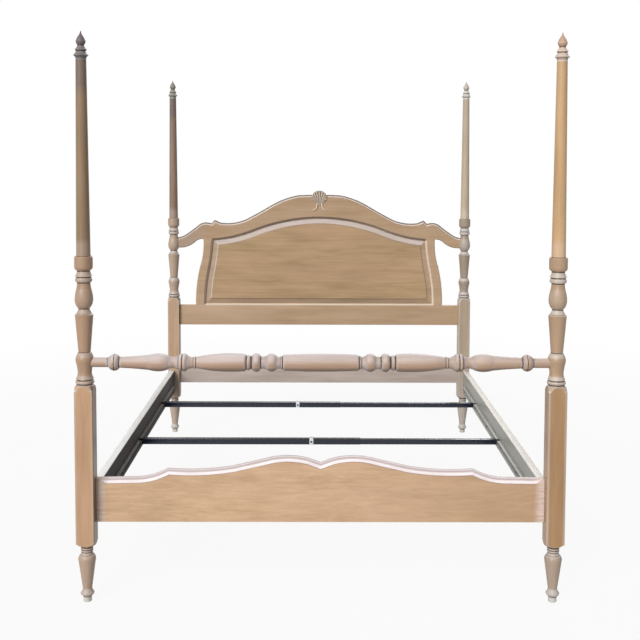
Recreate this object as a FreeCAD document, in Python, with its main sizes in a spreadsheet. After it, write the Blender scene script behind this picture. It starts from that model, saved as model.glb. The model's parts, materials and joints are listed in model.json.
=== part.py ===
import FreeCAD, Part
import math
import os
import Sketcher
from types import SimpleNamespace

# Poster bed for a queen mattress. Millimetres, +Z up, +Y towards the head, +X to the right when
# looking from the foot to the head. The origin is on the floor, in the middle of the four posts.

# A turned element has a length, the diameter where it ends and, where it is a curve, the diameter
# at the middle of its length (crown). A shaped board has points given by their distance from the
# middle of the bed (x) or inwards from the post's axis (in), and by their height (rise).
SIZES = {
    # Plan of the four posts, centre to centre, and their square stock
    "post_spacing_x": 1612,
    "post_spacing_y": 2140,
    "block_side": 63.5,
    # Clearances
    "joint_gap": 0.2,
    "bore_gap": 0.05,
    "cut_over": 1.0,
    # Glide under each foot
    "glide_dia": 29,
    "glide_edge": 1.5,
    "glide_height": 18,
    "stem_dia": 8,
    "stem_len": 26,
    # Post turning, upwards from the glide
    "foot_start_dia": 30,
    "foot_groove_len": 2, "foot_groove_dia": 30,
    "foot_bead_len": 11, "foot_bead_crown": 43, "foot_bead_dia": 47,
    "foot_ankle_len": 17, "foot_ankle_crown": 36, "foot_ankle_dia": 32,
    "foot_taper_len": 102, "foot_taper_dia": 60,
    "foot_shoulder_len": 15, "foot_shoulder_crown": 58, "foot_shoulder_dia": 48,
    "foot_crease_len": 1, "foot_crease_dia": 45,
    "foot_flare_len": 11, "foot_flare_crown": 40.5, "foot_flare_dia": 38,
    "foot_ring_low_len": 6, "foot_ring_low_crown": 42.5, "foot_ring_low_dia": 39,
    "foot_slit_len": 2, "foot_slit_dia": 37.5,
    "foot_ring_high_len": 6, "foot_ring_high_crown": 42.5, "foot_ring_high_dia": 39,
    "foot_neck_len": 3, "foot_neck_dia": 39,
    "pommel_low_len": 20, "pommel_low_crown": 70,
    "pommel_margin": 1,
    "block_len": 506,
    "pommel_high_len": 40, "pommel_high_crown": 84, "pommel_high_dia": 57,
    "collar_groove_len": 4, "collar_groove_dia": 53,
    "collar_rim_len": 1, "collar_rim_dia": 61,
    "collar_ring_len": 10, "collar_ring_crown": 63.5, "collar_ring_dia": 58,
    "collar_slot_len": 3, "collar_slot_dia": 54,
    "collar_edge_len": 2, "collar_edge_dia": 60,
    "collar_flare_len": 22, "collar_flare_crown": 50.5, "collar_flare_dia": 47,
    "bell_flank_len": 34, "bell_flank_crown": 51.3, "bell_flank_dia": 58,
    "bell_len": 26, "bell_crown": 61, "bell_dia": 53,
    "bell_top_len": 10, "bell_top_crown": 49, "bell_top_dia": 41,
    "long_taper_len": 128, "long_taper_dia": 62,
    "taper_lip_len": 4, "taper_lip_dia": 52,
    "vase_cove_len": 17, "vase_cove_crown": 43, "vase_cove_dia": 37,
    "vase_low_len": 32, "vase_low_crown": 57, "vase_low_dia": 62,
    "vase_high_len": 26, "vase_high_crown": 60, "vase_high_dia": 55,
    "vase_throat_len": 26, "vase_throat_crown": 48.5, "vase_throat_dia": 45,
    "vase_neck_len": 6, "vase_neck_dia": 45,
    "neck_rim_len": 2, "neck_rim_dia": 54,
    "neck_ring_len": 13, "neck_ring_crown": 57, "neck_ring_dia": 52,
    "neck_slot_len": 4, "neck_slot_dia": 49,
    "neck_edge_len": 1.5, "neck_edge_dia": 58,
    "neck_flare_len": 17, "neck_flare_crown": 49, "neck_flare_dia": 45,
    "cup_neck_len": 2, "cup_neck_dia": 44,
    "cup_bowl_len": 11, "cup_bowl_crown": 57, "cup_bowl_dia": 62,
    "cup_wall_len": 34, "cup_wall_dia": 62,
    "cup_rim_len": 4.5, "cup_rim_dia": 56,
    # Stud in the cup, and the pole that stands on it
    "stud_dia": 10,
    "stud_sunk": 50,
    "stud_proud": 55,
    "stud_headroom": 2,
    "pole_base_dia": 48,
    "pole_len": 657,
    "pole_top_dia": 35.5,
    # Finial and its pin
    "pin_dia": 6,
    "pin_sunk": 24,
    "pin_proud": 40,
    "pin_headroom": 2,
    "finial_base_dia": 35.5,
    "finial_base_len": 7, "finial_base_end_dia": 35,
    "finial_flare_len": 9, "finial_flare_crown": 39, "finial_flare_dia": 49,
    "finial_rim_len": 2, "finial_rim_dia": 50,
    "finial_collar_len": 13, "finial_collar_crown": 38, "finial_collar_dia": 33,
    "finial_crease_len": 1, "finial_crease_dia": 32,
    "finial_disc_len": 5, "finial_disc_crown": 38, "finial_disc_dia": 39,
    "finial_neck_len": 14, "finial_neck_crown": 27, "finial_neck_dia": 22,
    "finial_bud_len": 13, "finial_bud_crown": 30, "finial_bud_dia": 33,
    "finial_flame_len": 22, "finial_flame_crown": 24, "finial_flame_dia": 10,
    "finial_spire_len": 10, "finial_spire_crown": 6, "finial_spire_dia": 3.5,
    "finial_tip_len": 2, "finial_tip_dia": 2,
    # Turned blanket rail, outwards from its middle; its long members share out any spare length
    "blanket_middle_dia": 61,
    "blanket_barrel_len": 125.8, "blanket_barrel_crown": 59.5, "blanket_barrel_dia": 55,
    "blanket_barrel_end_len": 5, "blanket_barrel_end_crown": 51, "blanket_barrel_end_dia": 42,
    "blanket_disc_len": 6, "blanket_disc_crown": 46, "blanket_disc_dia": 41,
    "blanket_cove_len": 19, "blanket_cove_crown": 42, "blanket_cove_dia": 54,
    "blanket_bulb_len": 30, "blanket_bulb_crown": 61, "blanket_bulb_dia": 46,
    "blanket_groove_len": 4, "blanket_groove_dia": 42,
    "blanket_spacer_len": 14, "blanket_spacer_dia": 42,
    "blanket_step_len": 2, "blanket_step_dia": 45,
    "blanket_bead_len": 29, "blanket_bead_crown": 63, "blanket_bead_dia": 45,
    "blanket_slot_len": 5, "blanket_slot_dia": 44,
    "blanket_ring_len": 14, "blanket_ring_crown": 52, "blanket_ring_dia": 46,
    "blanket_cap_len": 8, "blanket_cap_crown": 56, "blanket_cap_dia": 60,
    "blanket_swell_len": 72, "blanket_swell_crown": 63, "blanket_swell_dia": 62,
    "blanket_taper_len": 90, "blanket_taper_crown": 54, "blanket_taper_dia": 40,
    "blanket_notch_len": 2, "blanket_notch_dia": 37,
    "blanket_fillet_len": 8, "blanket_fillet_crown": 42, "blanket_fillet_dia": 37,
    "blanket_flare_len": 25, "blanket_flare_crown": 41, "blanket_flare_dia": 55,
    "blanket_twin_in_len": 13, "blanket_twin_in_crown": 62, "blanket_twin_in_dia": 55,
    "blanket_twin_out_len": 12, "blanket_twin_out_crown": 61, "blanket_twin_out_dia": 50,
    "blanket_spool_len": 37, "blanket_spool_crown": 38, "blanket_spool_dia": 46,
    "blanket_lip_len": 3, "blanket_lip_dia": 50,
    "blanket_head_len": 28, "blanket_head_crown": 58, "blanket_head_dia": 61,
    "blanket_shoulder_len": 35, "blanket_shoulder_crown": 59, "blanket_shoulder_dia": 51.5,
    "blanket_vase_len": 100, "blanket_vase_crown": 42.5, "blanket_vase_dia": 37,
    "blanket_sill_len": 3, "blanket_sill_dia": 44,
    "blanket_knob_in_len": 12, "blanket_knob_in_crown": 54, "blanket_knob_in_dia": 57,
    "blanket_slit_len": 1.5, "blanket_slit_dia": 51,
    "blanket_rim_len": 1.5, "blanket_rim_dia": 58,
    "blanket_knob_out_len": 18, "blanket_knob_out_crown": 52.5, "blanket_knob_out_dia": 38,
    "blanket_end_step_len": 3, "blanket_end_step_dia": 33,
    "blanket_end_len": 68, "blanket_end_dia": 33,
    "blanket_seat": 12,
    # Headboard frame
    "frame_thick": 25,
    "tenon_len": 25,
    "tenon_step": 12,
    "headrail_drop": 2,
    "headrail_height": 110,
    "lower_rail_rise": 68,
    "lower_rail_height": 118,
    # Crest rail, heights above the underside of its arms
    "crest_seat_rise": 16,
    "crest_seat": 12,
    "crest_tenon_step": 2,
    "crest_peak_rise": 294.5,
    "crest_brow_x": 115, "crest_brow_rise": 291.5,
    "crest_fall_x": 190, "crest_fall_rise": 271,
    "crest_shoulder_x": 250, "crest_shoulder_rise": 244,
    "crest_slope_in": 481, "crest_slope_rise": 200.5,
    "crest_dip_in": 406, "crest_dip_rise": 159.5,
    "crest_valley_in": 311, "crest_valley_rise": 136,
    "crest_lift_in": 260, "crest_lift_rise": 138.5,
    "crest_notch_in": 228, "crest_notch_rise": 153,
    "crest_step_in": 209, "crest_step_rise": 134,
    "crest_hump_in": 182, "crest_hump_rise": 139.5,
    "crest_elbow_in": 147, "crest_elbow_rise": 131.5,
    "crest_arm_in": 104, "crest_arm_rise": 98,
    "crest_cuff_in": 67, "crest_cuff_rise": 72,
    "crest_wrist_in": 50, "crest_wrist_rise": 63,
    "crest_hand_in": 31, "crest_hand_rise": 58,
    "crest_palm_in": 73, "crest_palm_rise": 5,
    "crest_hollow_in": 113, "crest_hollow_rise": 26,
    "crest_armpit_in": 130, "crest_armpit_rise": 40,
    # Stiles and the arched opening between them
    "stile_top_rise": 48,
    "stile_top_out_in": 165,
    "stile_top_inner_in": 212,
    "stile_upper_out_in": 162, "stile_upper_out_drop": 80,
    "stile_waist_out_in": 146, "stile_waist_out_drop": 150,
    "stile_lower_out_in": 127, "stile_lower_out_drop": 255,
    "stile_foot_out_in": 122,
    "stile_foot_inner_in": 170,
    "stile_lower_inner_in": 174.5, "stile_lower_inner_drop": 270,
    "stile_waist_inner_in": 189, "stile_waist_inner_drop": 173,
    "stile_upper_inner_in": 202.5, "stile_upper_inner_drop": 95,
    "arch_rise": 171,
    "arch_knee_in": 430, "arch_knee_rise": 95,
    "arch_haunch_in": 317, "arch_haunch_rise": 62,
    # Raised panel, its tongue in the frame and the bead round it
    "tongue_thick": 8,
    "tongue_depth": 8,
    "field_rise": 6,
    "field_border": 12,
    "bevel_width": 28,
    "bead_width": 10,
    "bead_thick": 7.5,
    # Dowels between stiles and rails
    "dowel_dia": 10,
    "dowel_len": 56,
    "dowel_spacing": 18,
    "dowel_edge": 12,
    # Shell carving
    "shell_thick": 7,
    "shell_centre_rise": 273,
    "shell_radius": 42,
    "shell_lobe": 4,
    "shell_top_swell": 3.2,
    "shell_root_half": 11,
    "shell_root_rise": 236,
    "shell_tail_x": 42,
    "shell_tail_rise": 213,
    "shell_tail_bend_x": 14,
    "shell_tail_bend_rise": 218,
    "shell_tail_width": 8,
    # Footboard, heights above its underside, and the moulded edge routed along its top
    "footboard_thick": 22,
    "footboard_inset": 40,
    "footboard_rise": 62,
    "footboard_tenon_len": 25,
    "footboard_tenon_thick": 10,
    "footboard_tenon_step": 15,
    "edge_height": 15,
    "edge_depth": 14,
    "edge_lip": 2,
    "edge_stop": 38,
    "edge_scoop": 20,
    "foot_dip_rise": 206,
    "foot_flank_x": 40, "foot_flank_rise": 221,
    "foot_crown_x": 105, "foot_crown_rise": 230.5,
    "foot_slope_x": 190, "foot_slope_rise": 220,
    "foot_run_in": 506, "foot_run_rise": 194.5,
    "foot_valley_in": 376, "foot_valley_rise": 182,
    "foot_notch_in": 278, "foot_notch_rise": 185,
    "foot_scoop_in": 236, "foot_scoop_rise": 166.5,
    "foot_low_in": 166, "foot_low_rise": 155,
    "foot_end_rise": 153,
    # Side rails and ledgers
    "rail_set": 28,
    "rail_thick": 30,
    "rail_height": 124,
    "rail_rise": 15,
    "rail_end_gap": 0.5,
    "ledger_wide": 15,
    "ledger_tall": 20,
    "ledger_drop": 66,
    "ledger_end": 100,
    "ledger_screw_dia": 4.5,
    "ledger_screw_bite": 15,
    "ledger_head_dia": 9,
    "ledger_head_thick": 2.5,
    "ledger_screw_edge": 80,
    # Hook plates on the rail ends and slotted catch plates in the posts
    "plate_wide": 18,
    "plate_tall": 104,
    "plate_thick": 2.5,
    "hook_spacing": 44,
    "hook_thick": 5,
    "hook_neck": 10,
    "hook_lip_drop": 8,
    "hook_lip_thick": 3.5,
    "hook_play": 0.5,
    "hook_lift": 10,
    "plate_screw_dia": 4,
    "plate_screw_len": 11,
    "plate_head_dia": 8,
    "plate_head_thick": 1.4,
    "plate_screw_edge": 7,
    # Telescopic cross bars
    "bar_front_from_foot": 976,
    "bar_rear_from_foot": 1632,
    "bar_flange": 25,
    "bar_wall": 2.5,
    "bar_gap": 0.3,
    "bar_end_gap": 3,
    "bar_lap_left": 60,
    "bar_lap_right": 216,
    "bar_clip_front_x": 36,
    "bar_clip_rear_x": 108,
    "tab_wall": 3,
    "tab_len": 95,
    "tab_rail_gap": 4,
    "rivet_dia": 4.5,
    "rivet_head_dia": 8,
    "rivet_head_thick": 1.8,
    "rivet_edge": 40,
    "rivet_spacing": 42,
    "clip_long": 17,
    "clip_wall": 3,
    "clip_screw_dia": 4,
    "clip_head_dia": 9,
    "clip_head_thick": 3,
}

SHELL_LOBES = 9
SHELL_SPREAD_DEGREES = 236
LEDGER_SCREWS = 6
SCOOP_BEND = math.radians(30)
SAME_POINT = 1e-6

POST_TURNING = (
    "foot_groove", "foot_bead", "foot_ankle", "foot_taper", "foot_shoulder", "foot_crease", "foot_flare",
    "foot_ring_low", "foot_slit", "foot_ring_high", "foot_neck",
    "pommel_low", "block", "pommel_high", "collar_groove", "collar_rim", "collar_ring", "collar_slot",
    "collar_edge", "collar_flare", "bell_flank", "bell", "bell_top", "long_taper", "taper_lip",
    "vase_cove", "vase_low", "vase_high", "vase_throat", "vase_neck", "neck_rim", "neck_ring",
    "neck_slot", "neck_edge", "neck_flare", "cup_neck", "cup_bowl", "cup_wall", "cup_rim",
)
FINIAL_TURNING = (
    "finial_flare", "finial_rim", "finial_collar", "finial_crease", "finial_disc", "finial_neck",
    "finial_bud", "finial_flame", "finial_spire", "finial_tip",
)
BLANKET_TURNING = (
    "blanket_barrel", "blanket_barrel_end", "blanket_disc", "blanket_cove", "blanket_bulb",
    "blanket_groove", "blanket_spacer", "blanket_step", "blanket_bead", "blanket_slot", "blanket_ring",
    "blanket_cap", "blanket_swell", "blanket_taper", "blanket_notch", "blanket_fillet", "blanket_flare",
    "blanket_twin_in", "blanket_twin_out", "blanket_spool", "blanket_lip", "blanket_head",
    "blanket_shoulder", "blanket_vase", "blanket_sill", "blanket_knob_in", "blanket_slit",
    "blanket_rim", "blanket_knob_out", "blanket_end_step", "blanket_end",
)
BLANKET_LONG_MEMBERS = ("blanket_barrel", "blanket_taper", "blanket_vase")


class Dim:
    """A length that knows its number and the formula that ties it to the size sheet."""

    def __init__(self, value, text):
        self.value = value
        self.text = text

    def __add__(self, other):
        other = as_dim(other)
        return Dim(self.value + other.value, f"({self.text} + {other.text})")

    def __sub__(self, other):
        other = as_dim(other)
        return Dim(self.value - other.value, f"({self.text} - {other.text})")

    def __mul__(self, factor):
        return Dim(self.value * factor, f"({self.text} * {factor!r})")

    def __truediv__(self, factor):
        return Dim(self.value / factor, f"({self.text} / {factor!r})")

    def __neg__(self):
        return Dim(-self.value, f"(0 - {self.text})")


def as_dim(number):
    """The number as a length, unless it already is one."""
    if isinstance(number, Dim):
        return number
    return Dim(float(number), repr(float(number)))


ZERO = as_dim(0)
doc = FreeCAD.newDocument("poster_bed")
sheet = doc.addObject("Spreadsheet::Sheet", "Sizes")
for row, (alias, number) in enumerate(SIZES.items(), start=1):
    sheet.set(f"A{row}", alias)
    sheet.set(f"B{row}", str(number))
    sheet.setAlias(f"B{row}", alias)
doc.recompute()
s = SimpleNamespace(**{alias: Dim(float(number), f"Sizes.{alias}") for alias, number in SIZES.items()})


# Helpers that make document objects tied to the sheet

def place(thing, x=ZERO, y=ZERO, z=ZERO):
    """Tie an object's position to sizes."""
    for axis, size in zip("xyz", (x, y, z)):
        thing.setExpression(f"Placement.Base.{axis}", as_dim(size).text)
    return thing


def box(name, low, high):
    """Block between two corners."""
    block = doc.addObject("Part::Box", name)
    for side, start, end in zip(("Length", "Width", "Height"), low, high):
        block.setExpression(side, (end - start).text)
    return place(block, *low)


def rod(name, start, axis, dia, length):
    """Cylinder that runs from its start along +X, +Y or +Z."""
    turns = {"x": (0, 1, 0, 90), "y": (1, 0, 0, -90), "z": (0, 0, 1, 0)}
    *turn_axis, degrees = turns[axis]
    cylinder = doc.addObject("Part::Cylinder", name)
    cylinder.Placement.Rotation = FreeCAD.Rotation(FreeCAD.Vector(*turn_axis), degrees)
    cylinder.setExpression("Radius", (dia / 2).text)
    cylinder.setExpression("Height", length.text)
    return place(cylinder, *start)


def union(name, things):
    """One solid from several that overlap or touch."""
    fused = doc.addObject("Part::MultiFuse", name)
    fused.Shapes = things
    return fused


def group(name, things):
    """Separate solids kept together under one name."""
    compound = doc.addObject("Part::Compound", name)
    compound.Links = things
    return compound


def cut(name, base, tools):
    """The base with all the tools taken out of it."""
    result = doc.addObject("Part::Cut", name)
    result.Base = base
    result.Tool = tools[0] if len(tools) == 1 else union(name + "_cuts", tools)
    return result


def mirrored(name, source, normal=(1, 0, 0)):
    """Mirror image across the middle of the bed: left to right, or with normal Y foot to head."""
    image = doc.addObject("Part::Mirroring", name)
    image.Source = source
    image.Normal = FreeCAD.Vector(*normal)
    return image


def origin_plane(body, role):
    """One of a body's own origin planes."""
    return next(feature for feature in body.Origin.OriginFeatures if feature.Role == role)


def flat_point(point):
    """A sketch point as a vector."""
    return FreeCAD.Vector(point[0].value, point[1].value, 0)


def hold(sketch_id, end, point):
    """Constraints that hold one sketch point at its sizes, with the formula for each."""
    held = []
    for kind, axis_line, size in (("DistanceX", -2, point[0]), ("DistanceY", -1, point[1])):
        if size.text == ZERO.text:
            held.append((Sketcher.Constraint("PointOnObject", sketch_id, end, axis_line), None))
        else:
            distance = Sketcher.Constraint(kind, -1, 1, sketch_id, end, size.value)
            held.append((distance, size.text))
    return held


def draw_loop(sketch, start, steps):
    """Closed loop of lines and three-point arcs, every point of it tied to the sheet."""
    corner = start
    constraints = []
    ends = []
    for step in steps:
        target = step[-1]
        if step[0] == "arc":
            curve = Part.Arc(flat_point(corner), flat_point(step[1]), flat_point(target))
        else:
            curve = Part.LineSegment(flat_point(corner), flat_point(target))
        edge = sketch.addGeometry(curve, False)
        forward = sketch.getPoint(edge, 1).distanceToPoint(flat_point(corner)) < SAME_POINT
        ends.append((edge, 1, 2) if forward else (edge, 2, 1))
        constraints += hold(edge, ends[-1][1], corner)
        if step[0] == "arc":
            crown = sketch.addGeometry(Part.Point(flat_point(step[1])), True)
            constraints.append((Sketcher.Constraint("PointOnObject", crown, 1, edge), None))
            constraints += hold(crown, 1, step[1])
        corner = target
    for (edge, _, last), (following, first, _) in zip(ends, ends[1:] + ends[:1]):
        constraints.append((Sketcher.Constraint("Coincident", edge, last, following, first), None))
    sketch.addConstraint([constraint for constraint, _ in constraints])
    for index, (_, formula) in enumerate(constraints):
        if formula:
            sketch.setExpression(f"Constraints[{index}]", formula)


def sketch_on(body, name, role, start, steps, offset=None):
    """Sketch of a closed loop on one of the body's origin planes."""
    sketch = body.newObject("Sketcher::SketchObject", name)
    sketch.AttachmentSupport = (origin_plane(body, role), [""])
    sketch.MapMode = "FlatFace"
    if offset:
        sketch.setExpression("AttachmentOffset.Base.z", offset.text)
    draw_loop(sketch, start, steps)
    return sketch


def turned(name, start, steps):
    """Solid of revolution about Z from a half profile."""
    body = doc.addObject("PartDesign::Body", name)
    profile = sketch_on(body, name + "_profile", "XZ_Plane", start, steps)
    lathe = body.newObject("PartDesign::Revolution", name + "_turning")
    lathe.Profile = profile
    lathe.ReferenceAxis = (profile, ["V_Axis"])
    lathe.Angle = 360
    return body


def mirror_features(body, features, role):
    """Complete a half body with its mirror image."""
    mirror = body.newObject("PartDesign::Mirrored", body.Name + "_mirror")
    mirror.Originals = features
    mirror.MirrorPlane = (origin_plane(body, role), [""])
    body.Tip = mirror


def padded(body, name, start, steps, thick, offset=None):
    """Board cut to an outline in X and Z, its thickness towards the foot of the bed."""
    sketch = sketch_on(body, name + "_outline", "XZ_Plane", start, steps, offset)
    pad = body.newObject("PartDesign::Pad", name + "_pad")
    pad.Profile = sketch
    pad.setExpression("Length", thick.text)
    return pad


def board(name, start, steps, back, thick, whole=True):
    """Board with its back face at Y = back; a whole board is drawn as its right half."""
    body = doc.addObject("PartDesign::Body", name)
    pad = padded(body, name, start, steps, thick)
    if whole:
        mirror_features(body, [pad], "YZ_Plane")
    return place(body, y=back)


def turning(names, base):
    """Profile steps of turned elements, going up from a height, and the height at each one's end."""
    steps = []
    ends = {}
    height = base
    for name in names:
        length = getattr(s, name + "_len")
        end = (getattr(s, name + "_dia") / 2, height + length)
        crown = getattr(s, name + "_crown", None)
        steps.append(("arc", (crown / 2, height + length / 2), end) if crown else ("line", end))
        height = height + length
        ends[name] = height
    return steps, ends


def backwards(start, steps):
    """The same open path walked from its end to its start."""
    corners = [start] + [step[-1] for step in steps]
    turned_round = [step[:-1] + (corner,) for step, corner in zip(steps, corners)]
    return corners[-1], turned_round[::-1]


parts = {}


def keep(name, thing):
    """Name a finished sub-part."""
    thing.Label = name
    parts[name] = thing
    return thing


# Places shared by several pieces

post_x = s.post_spacing_x / 2
post_y = s.post_spacing_y / 2
half_block = s.block_side / 2
block_face_x = post_x - half_block
rail_face_x = block_face_x + s.rail_set
block_face_y = post_y - half_block

# Where the post stays square, its turning is wider than the corners of the block
s.block_dia = s.block_side * math.sqrt(2) + s.pommel_margin * 2
s.pommel_low_dia = s.block_dia

post_steps, post_ends = turning(POST_TURNING, s.glide_height)
block_bottom = post_ends["pommel_low"]
block_top = post_ends["block"]
cup_top = post_ends["cup_rim"]
blanket_z = post_ends["bell_flank"]
crest_z = post_ends["vase_cove"] + s.crest_seat_rise
stile_top = crest_z + s.stile_top_rise
headrail_top = block_top - s.headrail_drop
headrail_bottom = headrail_top - s.headrail_height
lower_rail_bottom = block_bottom + s.lower_rail_rise
footboard_bottom = block_bottom + s.footboard_rise
footboard_front = s.footboard_inset - post_y - half_block
footboard_back = footboard_front + s.footboard_thick
rail_bottom = block_bottom + s.rail_rise
rail_top = rail_bottom + s.rail_height
ledger_top = rail_top - s.ledger_drop

# Headboard: crest rail, stiles, rails, panel, bead, dowels and shell carving


def crest_point(name):
    """Crest rail point measured inwards from the post."""
    return (post_x - getattr(s, f"crest_{name}_in"), crest_z + getattr(s, f"crest_{name}_rise"))


def crest_middle_point(name):
    """Crest rail point measured from the middle of the bed."""
    return (getattr(s, f"crest_{name}_x"), crest_z + getattr(s, f"crest_{name}_rise"))


def stile_point(name, grow=ZERO):
    """Stile point measured inwards from the post and down from the stile's top."""
    along = post_x - getattr(s, f"stile_{name}_in") + grow
    return (along, stile_top - getattr(s, f"stile_{name}_drop"))


def opening_arch(grow):
    """Arched top of the panel opening, from the middle to the stile, moved outwards by grow."""
    peak = crest_z + s.arch_rise + grow
    knee = (post_x - s.arch_knee_in, crest_z + s.arch_knee_rise + grow)
    quarter = (peak - knee[1]) / 4
    haunch = (post_x - s.arch_haunch_in, crest_z + s.arch_haunch_rise + grow)
    corner = (post_x - s.stile_top_inner_in + grow, stile_top + grow)
    return (ZERO, peak), [("arc", (knee[0] / 2, peak - quarter), knee), ("arc", haunch, corner)]


def opening_side(grow):
    """Side of the panel opening, down the stile from its top to the rail below."""
    foot = (post_x - s.stile_foot_inner_in + grow, headrail_top - grow)
    return [
        ("arc", stile_point("upper_inner", grow), stile_point("waist_inner", grow)),
        ("arc", stile_point("lower_inner", grow), foot),
    ]


def opening(grow):
    """Half outline of the panel opening, from the middle of the arch to the middle below."""
    start, arch = opening_arch(grow)
    return start, arch + opening_side(grow) + [("line", (ZERO, headrail_top - grow))]


def closed(start, steps):
    """The path with a straight run back to its start."""
    return start, steps + [("line", start)]


frame_back = post_y + s.frame_thick / 2
crest_tenon = post_x - s.crest_seat
crest_tenon_top = crest_z + s.crest_hand_rise - s.crest_tenon_step
crest_tenon_low = crest_z + s.crest_tenon_step
brow_quarter = (s.crest_peak_rise - s.crest_brow_rise) / 4
arch_start, arch_steps = opening_arch(ZERO)
arch_corner, arch_back = backwards(arch_start, arch_steps)
hand = crest_point("hand")
crest_start = (ZERO, crest_z + s.crest_peak_rise)
crest_steps = [
    ("arc", (s.crest_brow_x / 2, crest_start[1] - brow_quarter), crest_middle_point("brow")),
    ("arc", crest_middle_point("fall"), crest_middle_point("shoulder")),
    ("arc", crest_point("slope"), crest_point("dip")),
    ("arc", crest_point("valley"), crest_point("lift")),
    ("line", crest_point("notch")),
    ("line", crest_point("step")),
    ("arc", crest_point("hump"), crest_point("elbow")),
    ("arc", crest_point("arm"), crest_point("cuff")),
    ("arc", crest_point("wrist"), hand),
    ("line", (hand[0], crest_tenon_top)),
    ("line", (crest_tenon, crest_tenon_top)),
    ("line", (crest_tenon, crest_tenon_low)),
    ("line", (hand[0], crest_tenon_low)),
    ("line", (hand[0], crest_z)),
    ("arc", crest_point("palm"), crest_point("hollow")),
    ("arc", crest_point("armpit"), (post_x - s.stile_top_out_in, stile_top)),
    ("line", arch_corner),
] + arch_back
crest_blank = board("crest_blank", *closed(crest_start, crest_steps), frame_back, s.frame_thick)

stile_start = (post_x - s.stile_top_inner_in, stile_top)
stile_foot = (post_x - s.stile_foot_out_in, headrail_top)
side_foot, side_up = backwards(stile_start, opening_side(ZERO))
stile_steps = [
    ("line", (post_x - s.stile_top_out_in, stile_top)),
    ("arc", stile_point("upper_out"), stile_point("waist_out")),
    ("arc", stile_point("lower_out"), stile_foot),
    ("line", side_foot),
] + side_up
stile_blank = board("stile_blank", stile_start, stile_steps, frame_back, s.frame_thick, whole=False)


def tenoned_rail(name, bottom, height, back):
    """Straight rail between the posts with a tenon at each end."""
    top = bottom + height
    end = block_face_x + s.tenon_len
    steps = [
        ("line", (block_face_x, bottom)),
        ("line", (block_face_x, bottom + s.tenon_step)),
        ("line", (end, bottom + s.tenon_step)),
        ("line", (end, top - s.tenon_step)),
        ("line", (block_face_x, top - s.tenon_step)),
        ("line", (block_face_x, top)),
        ("line", (ZERO, top)),
    ]
    return board(name, *closed((ZERO, bottom), steps), back, s.frame_thick)


headrail_blank = tenoned_rail("headrail_blank", headrail_bottom, s.headrail_height, frame_back)
lower_rail = tenoned_rail("lower_rail", lower_rail_bottom, s.lower_rail_height, frame_back)
keep("headboard_lower_rail", lower_rail)

panel_back = post_y + s.tongue_thick / 2
panel = doc.addObject("PartDesign::Body", "panel")
tongue = padded(panel, "tongue", *closed(*opening(s.tongue_depth)), s.tongue_thick)
field_base = sketch_on(
    panel, "field_base", "XZ_Plane", *closed(*opening(-s.field_border)), s.tongue_thick)
field_face = sketch_on(
    panel, "field_face", "XZ_Plane", *closed(*opening(-(s.field_border + s.bevel_width))),
    s.tongue_thick + s.field_rise)
field = panel.newObject("PartDesign::AdditiveLoft", "field")
field.Profile = field_base
field.Sections = [field_face]
field.Ruled = True
mirror_features(panel, [tongue, field], "YZ_Plane")
keep("headboard_panel", place(panel, y=panel_back))

groove = board(
    "groove", *closed(*opening(s.tongue_depth + s.joint_gap)),
    panel_back + s.joint_gap, s.tongue_thick + s.joint_gap * 2)

bead_start, bead_outer = opening(-s.joint_gap)
bead_inner_end, bead_inner = backwards(*opening(-(s.joint_gap + s.bead_width)))
bead_steps = bead_outer + [("line", bead_inner_end)] + bead_inner
bead_back = post_y - s.tongue_thick / 2
keep("headboard_panel_moulding", board(
    "bead", *closed(bead_start, bead_steps), bead_back, s.bead_thick))

dowel_places = []
for joint_height, joint_out in ((stile_top, s.stile_top_out_in), (headrail_top, s.stile_foot_out_in)):
    for step in (ZERO, s.dowel_spacing):
        dowel_places.append((post_x - joint_out - s.dowel_edge - step, joint_height))
dowels = []
dowel_holes = []
hole_dia = s.dowel_dia + s.bore_gap * 2
hole_len = s.dowel_len + s.joint_gap * 2
for index, (along, height) in enumerate(dowel_places):
    dowels.append(rod(
        f"dowel_{index}", (along, post_y, height - s.dowel_len / 2), "z", s.dowel_dia, s.dowel_len))
    dowel_holes.append(rod(
        f"dowel_hole_{index}", (along, post_y, height - hole_len / 2), "z", hole_dia, hole_len))
right_dowels = group("right_dowels", dowels)
keep("headboard_dowels", group("all_dowels", [right_dowels, mirrored("left_dowels", right_dowels)]))
right_holes = union("right_dowel_holes", dowel_holes)
left_holes = mirrored("left_dowel_holes", right_holes)

keep("headboard_crest_rail", cut("crest", crest_blank, [groove, right_holes, left_holes]))
keep("headboard_bottom_rail", cut("headrail", headrail_blank, [groove, right_holes, left_holes]))
stile = keep("headboard_stile_right", cut("stile_right", stile_blank, [groove, right_holes]))
keep("headboard_stile_left", mirrored("stile_left", stile))


def shell_ray(radius, degrees):
    """Point of the shell at an angle from straight up."""
    angle = math.radians(degrees)
    return (radius * math.sin(angle), shell_centre + radius * math.cos(angle))


shell_centre = crest_z + s.shell_centre_rise
shell_root = (s.shell_root_half, crest_z + s.shell_root_rise)
lobe_step = SHELL_SPREAD_DEGREES / SHELL_LOBES
shell_start = (ZERO, shell_centre + s.shell_radius + s.shell_lobe)
first_valley = shell_ray(s.shell_radius, lobe_step / 2)
top_flank = shell_ray(s.shell_radius + s.shell_top_swell, lobe_step / 4)
shell_steps = [("arc", top_flank, first_valley)]
for lobe in range(1, SHELL_LOBES // 2 + 1):
    crown = shell_ray(s.shell_radius + s.shell_lobe, lobe * lobe_step)
    valley = shell_ray(s.shell_radius, lobe * lobe_step + lobe_step / 2)
    shell_steps.append(("arc", crown, valley))
tail_tip = (s.shell_tail_x, crest_z + s.shell_tail_rise)
tail_bend = (s.shell_tail_bend_x + s.shell_tail_width, crest_z + s.shell_tail_bend_rise)
tail_under = (s.shell_tail_bend_x, crest_z + s.shell_tail_bend_rise - s.shell_tail_width)
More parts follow.
